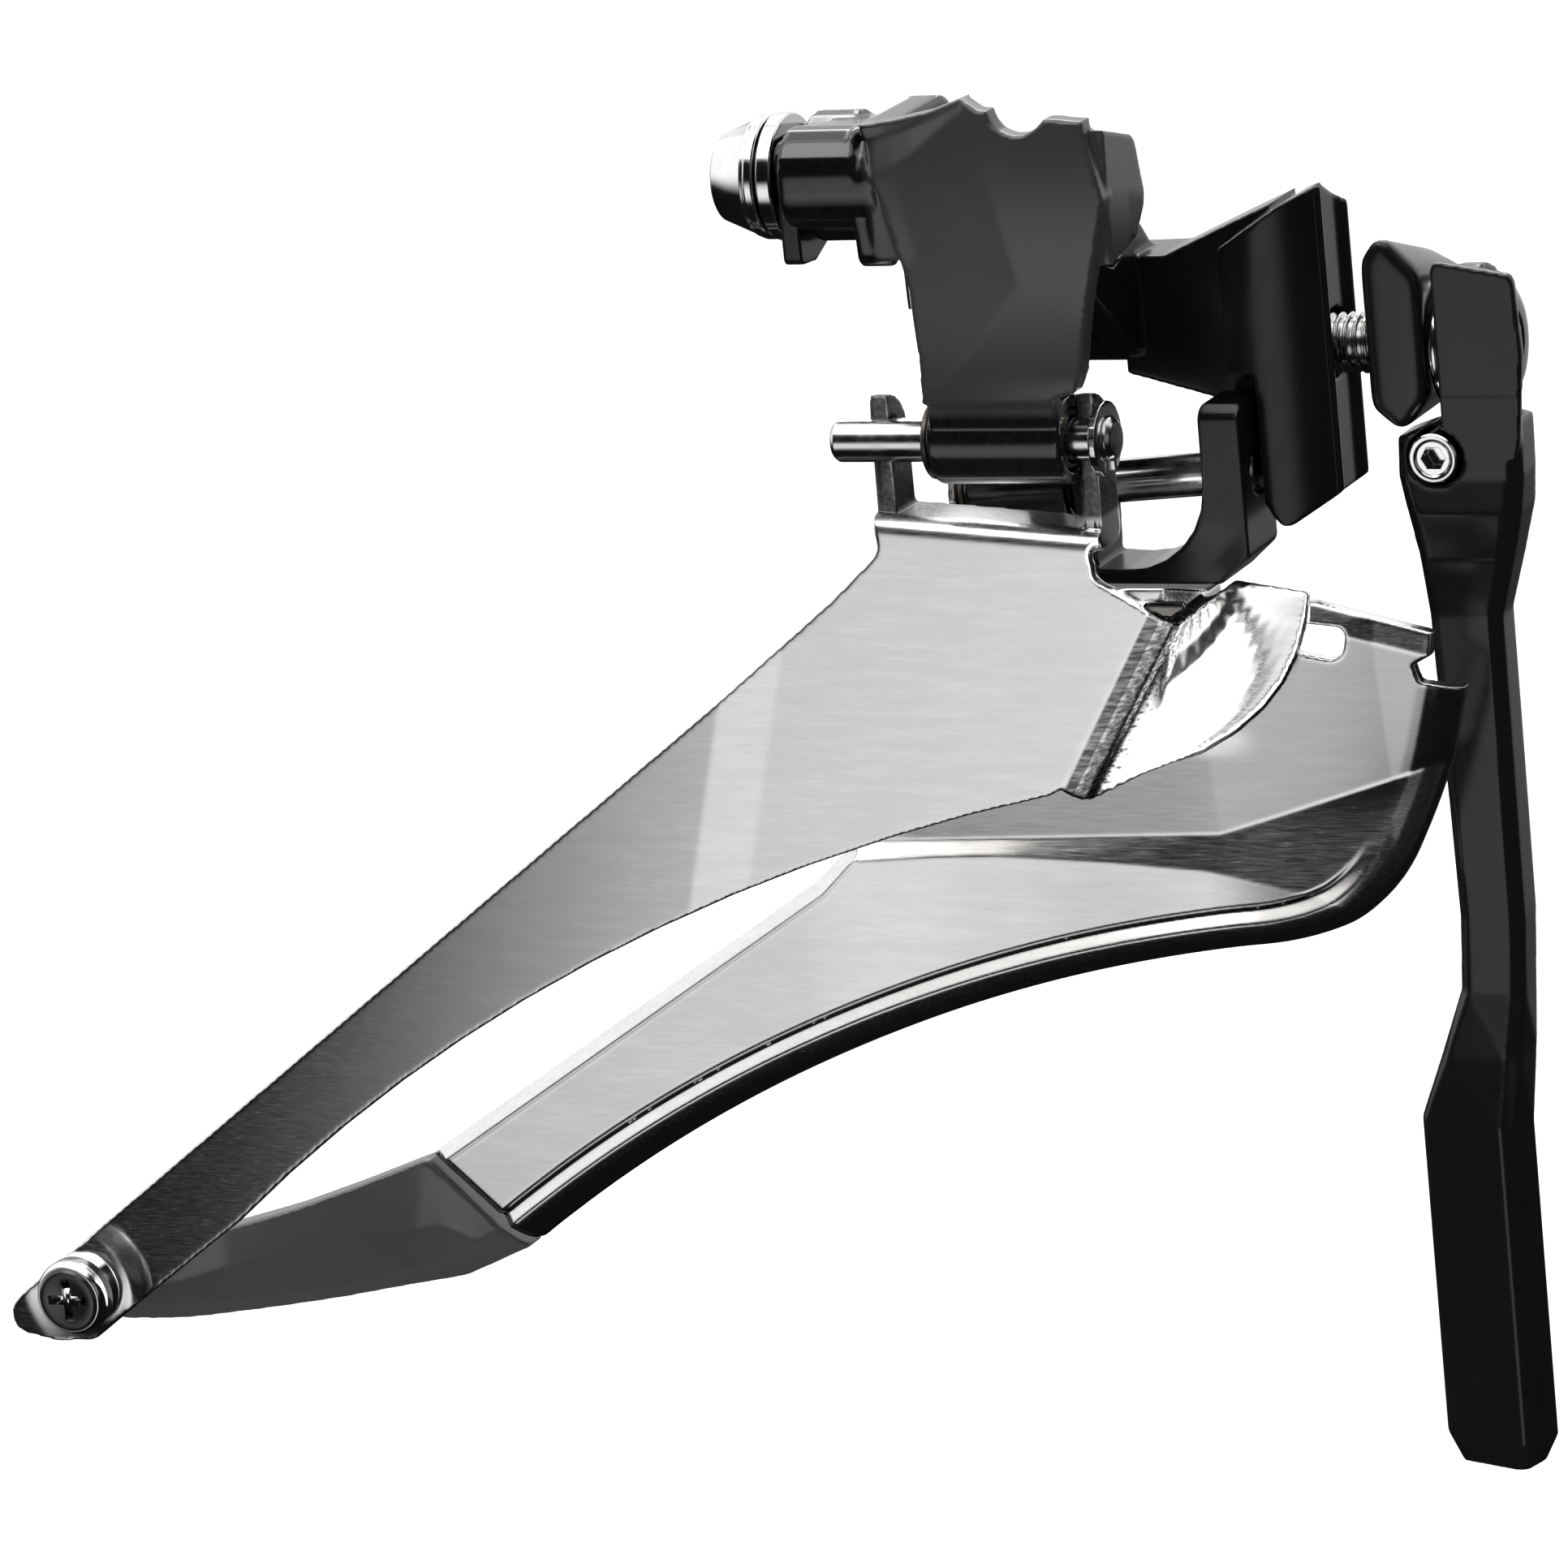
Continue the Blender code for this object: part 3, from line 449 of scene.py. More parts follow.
def brushed(name, colour, rough):
    """Sheet steel brushed along X: long fine scratches, a slow drift in tone and painted shade darkening
    its creases.
    """
    material, shader = new_material(name, colour, 1.0, rough)
    shader.inputs["Anisotropic"].default_value = 0.7
    shader.inputs["Anisotropic Rotation"].default_value = 0.25
    links = material.node_tree.links
    fine = noise_at(material, 9.0, (0.04, 1.0, 1.0), detail=5.0, rough=0.75)
    wide = noise_at(material, 1.1, (0.12, 1.0, 1.0), detail=3.0)
    dark = tuple(c * 0.75 for c in colour)
    base = blended(material, fine, dark, colour, 0.3, 0.62)
    cloud = blended(material, wide, dark, colour, 0.2, 0.6)
    tone = mixed(material, between(material, wide, 0.15, 0.5), base, cloud)
    # Painted shade: hollows and creases, found by the mesh's curvature, are darkened nearly to black.
    painted_crease_shade = blended(material, fine, (0.01, 0.01, 0.01), (0.03, 0.03, 0.03))
    links.new(mixed(material, edge_mask(material, 0.488, 0.462), tone, painted_crease_shade), shader.inputs["Base Color"])
    links.new(between(material, fine, rough - 0.05, rough + 0.09), shader.inputs["Roughness"])
    bump(material, shader, fine, 0.08, 0.012)
    return material


def product(material, first, second):
    """Two number outputs multiplied."""
    nodes, links = material.node_tree.nodes, material.node_tree.links
    times = nodes.new("ShaderNodeMath")
    times.operation = "MULTIPLY"
    links.new(first, times.inputs[0])
    links.new(second, times.inputs[1])
    return times.outputs["Value"]


def scuffed_strip(material, top, bottom, width):
    """Blackens a strip of short scratches in front of a line on the outer plate.

    The line runs from top to bottom, both (x, z). The strip's front edge is ragged, at most width from it.
    """
    nodes, links = material.node_tree.nodes, material.node_tree.links
    shader = nodes["Principled BSDF"]
    run, drop = bottom[0] - top[0], bottom[1] - top[1]
    normal = Vector((-drop, 0.0, run)) / hypot(run, drop)
    where = nodes.new("ShaderNodeTexCoord")
    across = nodes.new("ShaderNodeVectorMath")
    across.operation = "DOT_PRODUCT"
    across.inputs[1].default_value = normal
    links.new(where.outputs["Object"], across.inputs[0])
    scratch = noise_at(material, 3.5, (0.1, 1.0, 1.0), detail=3.0)
    ragged = nodes.new("ShaderNodeMath")
    ragged.operation = "MULTIPLY_ADD"
    ragged.inputs[1].default_value = 4.0 * MM
    links.new(scratch, ragged.inputs[0])
    links.new(across.outputs["Value"], ragged.inputs[2])
    edge = (normal.x * top[0] + normal.z * top[1]) * MM
    reach = edge + width * MM
    first = between(material, across.outputs["Value"], 0.0, 0.9, edge - 0.1 * MM, edge + 0.1 * MM)
    last = between(material, ragged.outputs["Value"], 1.0, 0.0, reach - 0.6 * MM, reach)
    outer = share_along(material, "Y", -12.0, -14.0)
    share = product(material, product(material, first, last), outer)
    scuffed = blended(material, scratch, (0.02, 0.02, 0.02), (0.3, 0.3, 0.3), 0.4, 0.66)
    base = shader.inputs["Base Color"].links[0].from_socket
    links.new(mixed(material, share, base, scuffed), shader.inputs["Base Color"])


def polished_metal(name, colour, rough):
    """Plated or ground steel: faint turning lines and a light smear of fingerprints."""
    material, shader = new_material(name, colour, 1.0, rough)
    links = material.node_tree.links
    smear = noise_at(material, 0.7, detail=4.0)
    lines = noise_at(material, 9.0, (1.0, 0.15, 0.15), detail=3.0)
    base = blended(material, smear, tuple(c * 0.9 for c in colour), colour)
    links.new(base, shader.inputs["Base Color"])
    links.new(between(material, smear, rough * 0.7, rough * 1.6), shader.inputs["Roughness"])
    bump(material, shader, lines, 0.06, 0.008)
    return material


MATERIALS = {
    "body_alloy": satin_black("body_alloy", (0.005, 0.005, 0.0053), 0.24, 0.12, 0.3),
    "link_alloy": satin_black("link_alloy", (0.03, 0.03, 0.0305), 0.3, 0.05, 0.7),
    "gloss_black": satin_black("gloss_black", (0.006, 0.006, 0.0063), 0.26, 0.1, 0.4),
    "black_bolt": satin_black("black_bolt", (0.008, 0.008, 0.008), 0.22, 0.3),
    "black_bracket": satin_black("black_bracket", (0.005, 0.005, 0.0053), 0.24, 0.1, 0.35),
    "dark_guide": satin_black("dark_guide", (0.055, 0.055, 0.0555), 0.3, 0.1, 0.6, wear=0.2),
    "brushed_cage": brushed("brushed_cage", (0.8, 0.79, 0.78), 0.19),
    "pin_steel": polished_metal("pin_steel", (0.74, 0.73, 0.72), 0.16),
    "chrome_fastener": polished_metal("chrome_fastener", (0.86, 0.86, 0.87), 0.1),
    "bronze_bush": polished_metal("bronze_bush", (0.13, 0.115, 0.1), 0.35),
}


def finish_parts():
    """Finishes and painted shade that change along a piece."""
    link, cage = MATERIALS["link_alloy"], MATERIALS["brushed_cage"]
    # Painted shade: the outer link's rear web, its barrel and all behind its front plate are coloured
    # darker, and made glossier.
    darker_part(link, share_along(link, "X", -27.5, -29.0), (0.004, 0.004, 0.0042), 0.16)
    darker_part(link, share_along(link, "Y", -19.2, -18.4), (0.004, 0.004, 0.0042), 0.16)
    darker_part(link, share_along(link, "Z", -0.4, -1.0), (0.006, 0.006, 0.0062), 0.17)
    # The outer plate's ears are dull and dark, and its front is scuffed.
    darker_part(cage, share_along(cage, "Z", -9.9, -9.4), (0.12, 0.12, 0.12), 0.42)
    scuffed_strip(cage, (-9.7, -16.6), (-18.2, -31.1), 4.6)
    # Painted shade: along the tail, the frame side of the inner plate's rolled edge is coloured dark, as a
    # dark lip.
    painted_lip_shade = product(cage, share_along(cage, "Y", -6.3, -6.1), share_along(cage, "X", -42.0, -43.0))
    darker_part(cage, painted_lip_shade, (0.02, 0.02, 0.02), 0.5)


def add_detail(piece, body, slot):
    """Puts a piece on a body, in the material that its slot names."""
    piece.data.materials.clear()
    piece.data.materials.append(MATERIALS[slot])
    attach(piece, body)


def stand_for(piece, body, slot, *nodes):
    """Puts a piece on a body in the place of CAD nodes."""
    add_detail(piece, body, slot)
    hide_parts(*nodes)


# ---------------------------------------------------------------- studio

def build_camera():
    """Long lens that looks down at the object a little, with a small roll."""
    camera = bpy.data.objects.new("camera", bpy.data.cameras.new("camera"))
    back = Vector((sin(AZIMUTH) * cos(ELEVATION), -cos(AZIMUTH) * cos(ELEVATION), sin(ELEVATION)))
    level = Vector((cos(AZIMUTH), sin(AZIMUTH), 0.0))
    upright = back.cross(level)
    right = level * cos(ROLL) - upright * sin(ROLL)
    up = level * sin(ROLL) + upright * cos(ROLL)
    turn = Matrix((right, up, back)).transposed()
    camera.matrix_world = Matrix.Translation((TARGET + back * DISTANCE) * MM) @ turn.to_4x4()
    camera.data.lens = FOCAL_LENGTH
    camera.data.sensor_width = SENSOR
    camera.data.clip_start = 0.01
    bpy.context.scene.collection.objects.link(camera)
    bpy.context.scene.camera = camera


def build_floor():
    """Pale floor under the object, not seen in reflections."""
    mesh = bmesh.new()
    bmesh.ops.create_grid(mesh, x_segments=1, y_segments=1, size=FLOOR_REACH * MM)
    floor = new_piece("floor", mesh)
    floor.location.z = CAD_BOX[0][2] - FLOOR_GAP * MM
    material, _ = new_material("floor", (0.92, 0.92, 0.92), 0.0, 0.8)
    floor.data.materials.append(material)
    floor.visible_glossy = False


def soft_light(name, place, size, power):
    """Rectangular area light at a place in millimetres, turned towards the object."""
    lamp = bpy.data.lights.new(name, "AREA")
    lamp.shape = "RECTANGLE"
    lamp.size = size[0] * MM
    lamp.size_y = size[1] * MM
    lamp.energy = power
    light = bpy.data.objects.new(name, lamp)
    light.location = Vector(place) * MM
    light.rotation_euler = (Vector(place) - LIGHT_AIM).to_track_quat("Z", "Y").to_euler()
    bpy.context.scene.collection.objects.link(light)
    return light


def sky_direction(left, up):
    """Unit vector at an angle to the left of straight ahead of the plate and an angle above level."""
    left, up = radians(left), radians(up)
    return (-sin(left) * cos(up), -cos(left) * cos(up), sin(up))


# Soft panels of the studio: degrees left of the plate's normal, degrees up, inner and outer
# half-angles, brightness. The base is the level between them.
SKY_BASE = 0.006
PANELS = [
    (14.0, -18.0, 6.0, 23.0, 1.12),
    (10.0, 74.0, 28.0, 42.0, 1.6),
    (-55.0, 12.0, 8.0, 26.0, 0.2),
    (180.0, 38.0, 42.0, 64.0, 1.0),
    (92.0, 25.0, 20.0, 42.0, 1.2)]


def sky_panel(tree, direction, inner, outer, brightness):
    """Round soft panel in the sky, by the angle between a ray and the panel's direction."""
    where = tree.nodes.new("ShaderNodeTexCoord")
    across = tree.nodes.new("ShaderNodeVectorMath")
    across.operation = "DOT_PRODUCT"
    across.inputs[1].default_value = direction
    spread = tree.nodes.new("ShaderNodeMapRange")
    spread.interpolation_type = "SMOOTHSTEP"
    spread.inputs["From Min"].default_value = cos(radians(outer))
    spread.inputs["From Max"].default_value = cos(radians(inner))
    spread.inputs["To Max"].default_value = brightness
    tree.links.new(where.outputs["Generated"], across.inputs[0])
    tree.links.new(across.outputs["Value"], spread.inputs["Value"])
    return spread.outputs["Result"]


def build_sky():
    """White to the eye; to the object, a dim room with soft panels."""
    world = bpy.data.worlds.new("studio")
    world.use_nodes = True
    tree = world.node_tree
    total = None
    for left, up, inner, outer, brightness in PANELS:
        panel = sky_panel(tree, sky_direction(left, up), inner, outer, brightness)
        if total is None:
            total = panel
            continue
        both = tree.nodes.new("ShaderNodeMath")
        tree.links.new(total, both.inputs[0])
        tree.links.new(panel, both.inputs[1])
        total = both.outputs["Value"]
    level = tree.nodes.new("ShaderNodeMath")
    level.inputs[1].default_value = SKY_BASE
    tree.links.new(total, level.inputs[0])
    path = tree.nodes.new("ShaderNodeLightPath")
    seen = tree.nodes.new("ShaderNodeMix")
    tree.links.new(path.outputs["Is Camera Ray"], seen.inputs["Factor"])
    tree.links.new(level.outputs["Value"], seen.inputs["A"])
    seen.inputs["B"].default_value = 1.0
    tree.links.new(seen.outputs["Result"], tree.nodes["Background"].inputs["Strength"])
    tree.nodes["Background"].inputs["Color"].default_value = (1.0, 1.0, 1.0, 1.0)
    bpy.context.scene.world = world


def build_lights():
    """Two soft lights for all, and a wide one that lights the outer plate alone."""
    soft_light("key", (-350.0, -450.0, 800.0), (500.0, 500.0), 2.0)
    soft_light("rim", (-200.0, 500.0, 500.0), (600.0, 300.0), 3.0)
    front = soft_light("front", (330.0, -330.0, -90.0), (900.0, 900.0), 6.3)
    front.visible_camera = False
    bright = bpy.data.collections.new("lit_from_the_front")
    front.light_linking.receiver_collection = bright
    build_sky()
    bpy.context.scene.view_settings.view_transform = "Standard"


# ---------------------------------------------------------------- cage plates

SHEET = 1.2           # thickness of the inner plate's sheet
OUTER_FACE = -20.0    # outboard face of each plate, along Y
INNER_FACE = -7.0
TAIL_SCREW = (-114.2, -78.0)

# The CAD plate's tail leaves its front's plane at a kink. Here it leaves at two creases and curves.
CAD_KINK_X = -44.0
CAD_TAIL_SLOPE = 0.052
CREASE_TOP, CREASE_FOOT = (-41.2, -19.3), (-46.4, -39.5)
CREASE_BAND = 4.8

# The plate's top bend: a point on its line, the line's fall towards the front, its radius and its ends.
TOP_BEND = (-32.3, -9.1)
TOP_BEND_SLOPE = 0.079
TOP_BEND_RADIUS = 1.5
TOP_BEND_REAR, TOP_BEND_FRONT = -33.0, -13.0


def crease_x(z, top, bottom):
    """Where a crease line from top to bottom, both (x, z), crosses a height."""
    return top[0] + (bottom[0] - top[0]) * (z - top[1]) / (bottom[1] - top[1])


def unfolded(points):
    """Lays the CAD plate's tail back into the plane of its front."""
    x, y, z = points.T
    return np.stack((x, y - CAD_TAIL_SLOPE * np.clip(CAD_KINK_X - x, 0.0, None), z), axis=1)


def outer_plate_shape(points):
    """Folds the plate at two creases, rounds its top bend and presses a ring round the tail screw."""
    x, flat, z = points.T
    behind = crease_x(z, CREASE_TOP, CREASE_FOOT) - x
    tail = np.clip(behind - CREASE_BAND, 0.0, None)
    folded = -0.03 * np.clip(behind, 0.0, CREASE_BAND) + 0.025 * tail + 0.00064 * tail ** 2
    from_screw = np.hypot(x - TAIL_SCREW[0], z - TAIL_SCREW[1])
    groove = 0.3 * ramp(from_screw, 3.2, 4.4) * (1 - ramp(from_screw, 4.6, 7.2))
    deep = flat - OUTER_FACE
    below = (TOP_BEND[1] - TOP_BEND_SLOPE * (x - TOP_BEND[0]) - z) / hypot(1.0, TOP_BEND_SLOPE)
    radius = TOP_BEND_RADIUS
    outside = np.hypot(deep - radius, below - radius)
    bend = (deep < radius) & (below < radius) & (outside > radius)
    bend = bend & (x < TOP_BEND_FRONT) & (x > TOP_BEND_REAR)
    shrink = np.where(bend, radius / np.maximum(outside, radius), 1.0)
    flat = OUTER_FACE + np.where(bend, radius + (deep - radius) * shrink, deep)
    z = z + np.where(bend, below - radius - (below - radius) * shrink, 0.0)
    return np.stack((x, flat + folded + groove, z), axis=1)


def build_outer_plate():
    """The CAD sheet laid flat, rebuilt finely and folded again. The front light is for it alone."""
    piece = softened("outer_plate", "outer_plate_sheet", 0.2, 5, outer_plate_shape, unfolded)
    bpy.data.collections["lit_from_the_front"].objects.link(piece)
    stand_for(piece, "cage", "brushed_cage", "outer_plate")


# The inner plate's panel is pressed out towards the chain, and its front and bottom are rolled.
# Beside the roll a bead slopes out of a narrow groove round the panel. Each profile is a list of
# (distance from the edge, depth); the fold's lines are lists of (x, z).
RIM_PROFILE = [(0.0, 2.3), (0.25, 1.2), (0.8, 0.5), (1.5, 0.0), (2.1, -0.32), (2.4, -0.45),
               (3.5, 0.4), (3.65, 0.4), (3.9, 0.0)]
NOSE_PROFILE = [(0.0, 1.3), (0.25, 0.95), (0.8, 0.62), (1.6, 0.28), (2.6, 0.05), (3.4, 0.0)]
FOLD_TOP = [(-50.0, -44.6), (-44.6, -39.8), (-10.6, -38.5), (3.8, -34.0), (8.0, -32.6)]
FOLD_FOOT = [(-50.0, -46.0), (-44.6, -41.4), (-36.0, -40.8), (-30.0, -40.6), (-20.0, -40.9), (-12.0, -41.4),
             (-1.4, -43.4), (8.0, -46.6)]
UPPER_LEAN = 0.17     # how fast the plate above the fold leans out towards the top
UPPER_TURN = 0.0022   # how fast it turns back towards the nose
TURN_START = -14.0

# Straight parts of its outline, as (x, z): the top, a small notch at the front, the tail's upper edge.
TOP_EDGE = [(-22.0, -19.0), (-0.5, -19.0), (8.7, -21.6)]
NOTCH = [(8.5, -23.4), (7.0, -24.2), (7.3, -25.6)]
TAIL_EDGE = [(-84.8, -68.2), (-46.3, -43.2), (-43.4, -40.4)]


def roll_profile(distance, z):
    """Depth of the rolled edge by distance from it. The bead and its groove end below the nose."""
    nose = ramp(z, -45.0, -38.0)
    return through(RIM_PROFILE, distance) * (1 - nose) + through(NOSE_PROFILE, distance) * nose


def panel_rise(x, z, from_tail, from_top):
    """How far the face stands out: a raised panel, a fold above it and a leaning upper part."""
    lower = through(FOLD_FOOT, x)
    upper = through(FOLD_TOP, x)
    facet = 1 - np.clip((z - lower) / (upper - lower), 0.0, 1.0)
    height = 0.8 - 0.28 * ramp(x, -48.0, -32.0) + 0.28 * ramp(x, -28.0, -10.0)
    height = height + 1.5 * ramp(x, -12.0, 8.0)
    edge = np.interp(from_top, [0.2, 1.1, 1.2, 1.4], [0.0, 1.12, 1.12, 1.0])
    lean = UPPER_LEAN * np.clip(z - upper, 0.0, 14.0) * ramp(x, -44.0, -36.0)
    lean = lean * (1 - ramp(z, -32.0, -25.0) * ramp(-x, 6.0, 11.0))
    sink = UPPER_TURN * np.clip(x - TURN_START, 0.0, 18.0) ** 2 * (1 - facet)
    return height * facet * ramp(from_tail, 0.3, 1.0) * np.where(x < -42.0, edge, 1.0) + lean - sink


def inner_plate_shape(points):
    """Shapes the flat sheet: rolled edge, raised panel and a flange along the top."""
    x, y, z = points.T
    places = np.stack((x, z), axis=1)
    inside = (y - INNER_FACE) / SHEET
    from_roll = distance_to(ROLLED_EDGE, places) - 0.7 * inside
    from_top = distance_to(TAIL_EDGE, places)
    from_tail = distance_to([TAIL_EDGE[0], ROLLED_EDGE[-1]], places)
    rise = panel_rise(x, z, from_tail, from_top)
    flange = 0.36 * np.clip(1.9 - distance_to(TOP_EDGE, places), 0.0, None) * ramp(x, -4.0, -1.0)
    depth = roll_profile(from_roll, z) - rise + flange
    return np.stack((x, y + depth, z), axis=1)


def eased(points, step, reach):
    """The line through the points, resampled and smoothed along its length. Its start stays put."""
    line = np.array([tuple(point)[:2] for point in points])
    along = np.concatenate(([0.0], np.cumsum(np.hypot(*np.diff(line, axis=0).T))))
    places = np.arange(0.0, along[-1], step)
    even = np.stack([np.interp(places, along, line[:, axis]) for axis in (0, 1)], axis=1)
    smooth = []
    for index in range(len(even)):
        width = min(reach, index, len(even) - 1 - index)
        smooth.append(tuple(even[index - width:index + width + 1].mean(axis=0)))
    return smooth


ROLLED_EDGE = eased([(10.5, -26.4), (7.6, -35.8), (3.6, -43.8)]
                    + arc((10.5, -189.8), 143.0, 95.5, 127.4, 40), 0.5, 9)


def build_inner_plate():
    """Sheet with a window near its top, rebuilt finely and pressed to shape."""
    outline = rounded(sharp(TOP_EDGE + NOTCH + ROLLED_EDGE + TAIL_EDGE))
    piece = prism("inner_plate_sheet", outline, "Y", INNER_FACE, INNER_FACE + SHEET)
    window = prism("window", rounded([
        (-2.8, -20.4, 0.8), (2.0, -21.0, 0.8), (1.3, -23.8, 1.2), (-2.4, -23.0, 1.0)]), "Y", -9.0, -3.0)
    cut(piece, window)
    remesh(piece, 0.15)
    reshape(piece, inner_plate_shape)
    relax(piece, 4)
    stand_for(piece, "cage", "brushed_cage", "inner_plate")


# ---------------------------------------------------------------- pins, bushes and fasteners

BOLT_SEAT = 12.7      # where the mounting bolt's head bears, along X
ANCHOR = (-10.0, 16.2)
CATCHER_SCREW = (9.6, -7.8)
SCREW_PLACES = {"low_limit_screw": (-22.6, -10.5), "high_limit_screw": (-17.4, -10.5)}
SCREW_SEAT = 17.0     # height of the limit screws' seats
RIVETS = {"bridge_rivet_front": (-11.8, -22.9), "bridge_rivet_rear": (-17.4, -22.9)}
PIN = 1.75            # radius of the linkage's pins


def bar_outline(centre, length, width):
    """Rectangle round a centre, by half its length and half its width."""
    corners = ((-1, -1), (1, -1), (1, 1), (-1, 1))
    return [Vector((centre[0] + a * length, centre[1] + b * width)) for a, b in corners]


def hexagon(name, axis, centre, radius, start, end):
    """Six-sided cutter for a socket, by the radius to its corners."""
    return turned(name, axis, centre, [(start, radius), (end, radius)], 6)


def build_mounting_bolt():
    """Black head with a socket, silver threaded shank, and the washer beside the catcher's base."""
    head = turned("mounting_bolt_head", "X", (0, 0), [
        (BOLT_SEAT, 2.2), (BOLT_SEAT, 5.0), (13.6, 5.0), (14.2, 4.6), (14.6, 3.9), (14.7, 3.4),
        (14.7, 2.5), (14.45, 2.2)])
    cut(head, hexagon("socket", "X", (0, 0), 2.0, BOLT_SEAT + 0.4, 16.0))
    stand_for(crisp(head, 0.08), "mount_body", "black_bolt", "mounting_bolt")
    shank = threaded("mounting_bolt_thread", (0, 0), 2.45, 0.42, 0.8, -6.2, 9.6)
    neck = turned("neck", "X", (0, 0), [(9.5, 2.0), (9.7, 2.4), (BOLT_SEAT - 0.02, 2.4)])
    add_detail(joined("mounting_bolt_thread", shank, neck), "mount_body", "pin_steel")
    washer = tube("catcher_washer_ring", "X", (0, 0), [
        (9.3, 2.8), (9.3, 5.0), (9.4, 5.15), (10.0, 5.15), (10.1, 5.0), (10.1, 2.8)])
    stand_for(washer, "mount_body", "chrome_fastener", "catcher_washer")


def build_cable_anchor():
    """Cone-shaped bolt with a socket and a washer."""
    bolt = turned("cable_anchor_bolt_turned", "X", ANCHOR, [
        (-46.3, 2.6), (-46.6, 2.9), (-46.6, 3.2), (-46.4, 3.5), (-43.5, 4.7), (-43.35, 4.85),
        (-43.2, 4.6), (-43.05, 4.9), (-42.9, 5.0), (-42.35, 5.0), (-42.2, 4.85), (-42.2, 2.4),
        (-32.8, 2.4), (-32.4, 2.0)])
    cut(bolt, hexagon("socket", "X", ANCHOR, 2.3, -48.0, -44.2))
    stand_for(crisp(bolt, 0.06), "outer_link", "chrome_fastener", "cable_anchor_bolt")
    washer = tube("anchor_washer_ring", "X", ANCHOR, [
        (-41.9, 2.7), (-41.9, 4.95), (-41.75, 5.1), (-40.75, 5.1), (-40.6, 4.95), (-40.6, 2.7)])
    stand_for(crisp(washer, 0.05), "outer_link", "chrome_fastener", "anchor_washer")


def build_tail_fasteners():
    """Domed black screw with a cross recess, its worn silver rim, and the washer under it."""
    face = OUTER_FACE + CAD_TAIL_SLOPE * (CAD_KINK_X - TAIL_SCREW[0]) - 0.35
    washer = tube("tail_washer_ring", "Y", TAIL_SCREW, [
        (face, 1.9), (face, 3.1), (face - 0.12, 3.2), (face - 0.6, 3.2), (face - 0.72, 3.1),
        (face - 1.5, 2.7), (face - 1.6, 2.5), (face - 1.6, 1.9)])
    stand_for(crisp(washer, 0.05), "cage", "chrome_fastener", "tail_washer")
    head = face - 1.75
    screw = turned("tail_screw_turned", "Y", TAIL_SCREW, [
        (head - 2.15, 0.5), (head - 2.25, 1.6), (head - 2.35, 2.2), (head - 2.3, 2.55), (head - 2.05, 2.85),
        (head - 1.4, 3.2), (head - 1.1, 3.28), (head - 0.2, 3.3), (head, 3.15), (head, 1.6),
        (head + 7.6, 1.6), (head + 8.0, 1.3)])
    slots = []
    for length, width in ((1.85, 0.42), (0.42, 1.85)):
        slots.append(loft("slot", [
            [place("Y", point, along) for point in bar_outline(TAIL_SCREW, size * length, size * width)]
            for along, size in ((head - 3.0, 1.25), (head - 0.9, 0.45))]))
    cut(screw, *slots)
    stand_for(crisp(screw, 0.07), "cage", "black_bolt", "tail_screw")
    rim = tube("tail_screw_rim", "Y", TAIL_SCREW, [
        (head - 1.1, 3.2), (head - 1.1, 3.32), (head - 1.55, 3.24), (head - 2.0, 2.98), (head - 2.12, 2.8),
        (head - 2.0, 2.75), (head - 1.6, 2.9)])
    add_detail(rim, "cage", "chrome_fastener")
    for turn, (length, width, lift) in enumerate(((1.1, 0.4, 0.0), (0.4, 1.1, 0.004))):
        floor = prism("tail_screw_recess_" + str(turn), bar_outline(TAIL_SCREW, length, width),
                      "Y", head - 2.2 - lift, head - 0.5)
        add_detail(floor, "cage", "chrome_fastener")


def build_catcher_screw():
    """Short screw with a flat round face and a small socket."""
    screw = turned("catcher_screw_turned", "Y", CATCHER_SCREW, [
        (-6.6, 1.35), (-6.75, 1.45), (-6.8, 1.6), (-6.8, 1.85), (-6.65, 2.0), (-2.2, 2.0), (-2.0, 1.8)])
    cut(screw, hexagon("socket", "Y", CATCHER_SCREW, 1.0, -7.4, -5.0))
    stand_for(crisp(screw, 0.05), "catcher_screw", "chrome_fastener", "catcher_screw")


def build_limit_screws():
    """Two small cross-head screws in the body's top."""
    for name, (x, y) in SCREW_PLACES.items():
        screw = turned(name + "_turned", "Z", (x, y), [
            (SCREW_SEAT - 2.5, 1.0), (SCREW_SEAT - 2.1, 1.3), (SCREW_SEAT - 0.3, 1.3),
            (SCREW_SEAT - 0.3, 2.0), (SCREW_SEAT - 0.2, 2.1), (SCREW_SEAT + 0.6, 2.1),
            (SCREW_SEAT + 0.9, 1.9), (SCREW_SEAT + 1.08, 1.4)])
        slots = [prism("slot", bar_outline((x, y), length, width), "Z", SCREW_SEAT + 0.4, SCREW_SEAT + 2.0)
                 for length, width in ((1.35, 0.26), (0.26, 1.35))]
        cut(screw, *slots)
        stand_for(crisp(screw, 0.05), name, "chrome_fastener", name)


def pin_profile(start, end):
    """Straight pin with a short lead at each end, as (along, radius) pairs."""
    return [(start, PIN - 0.35), (start + 0.12, PIN - 0.2), (start + 0.4, PIN), (end - 0.4, PIN),
            (end - 0.12, PIN - 0.2), (end, PIN - 0.35)]


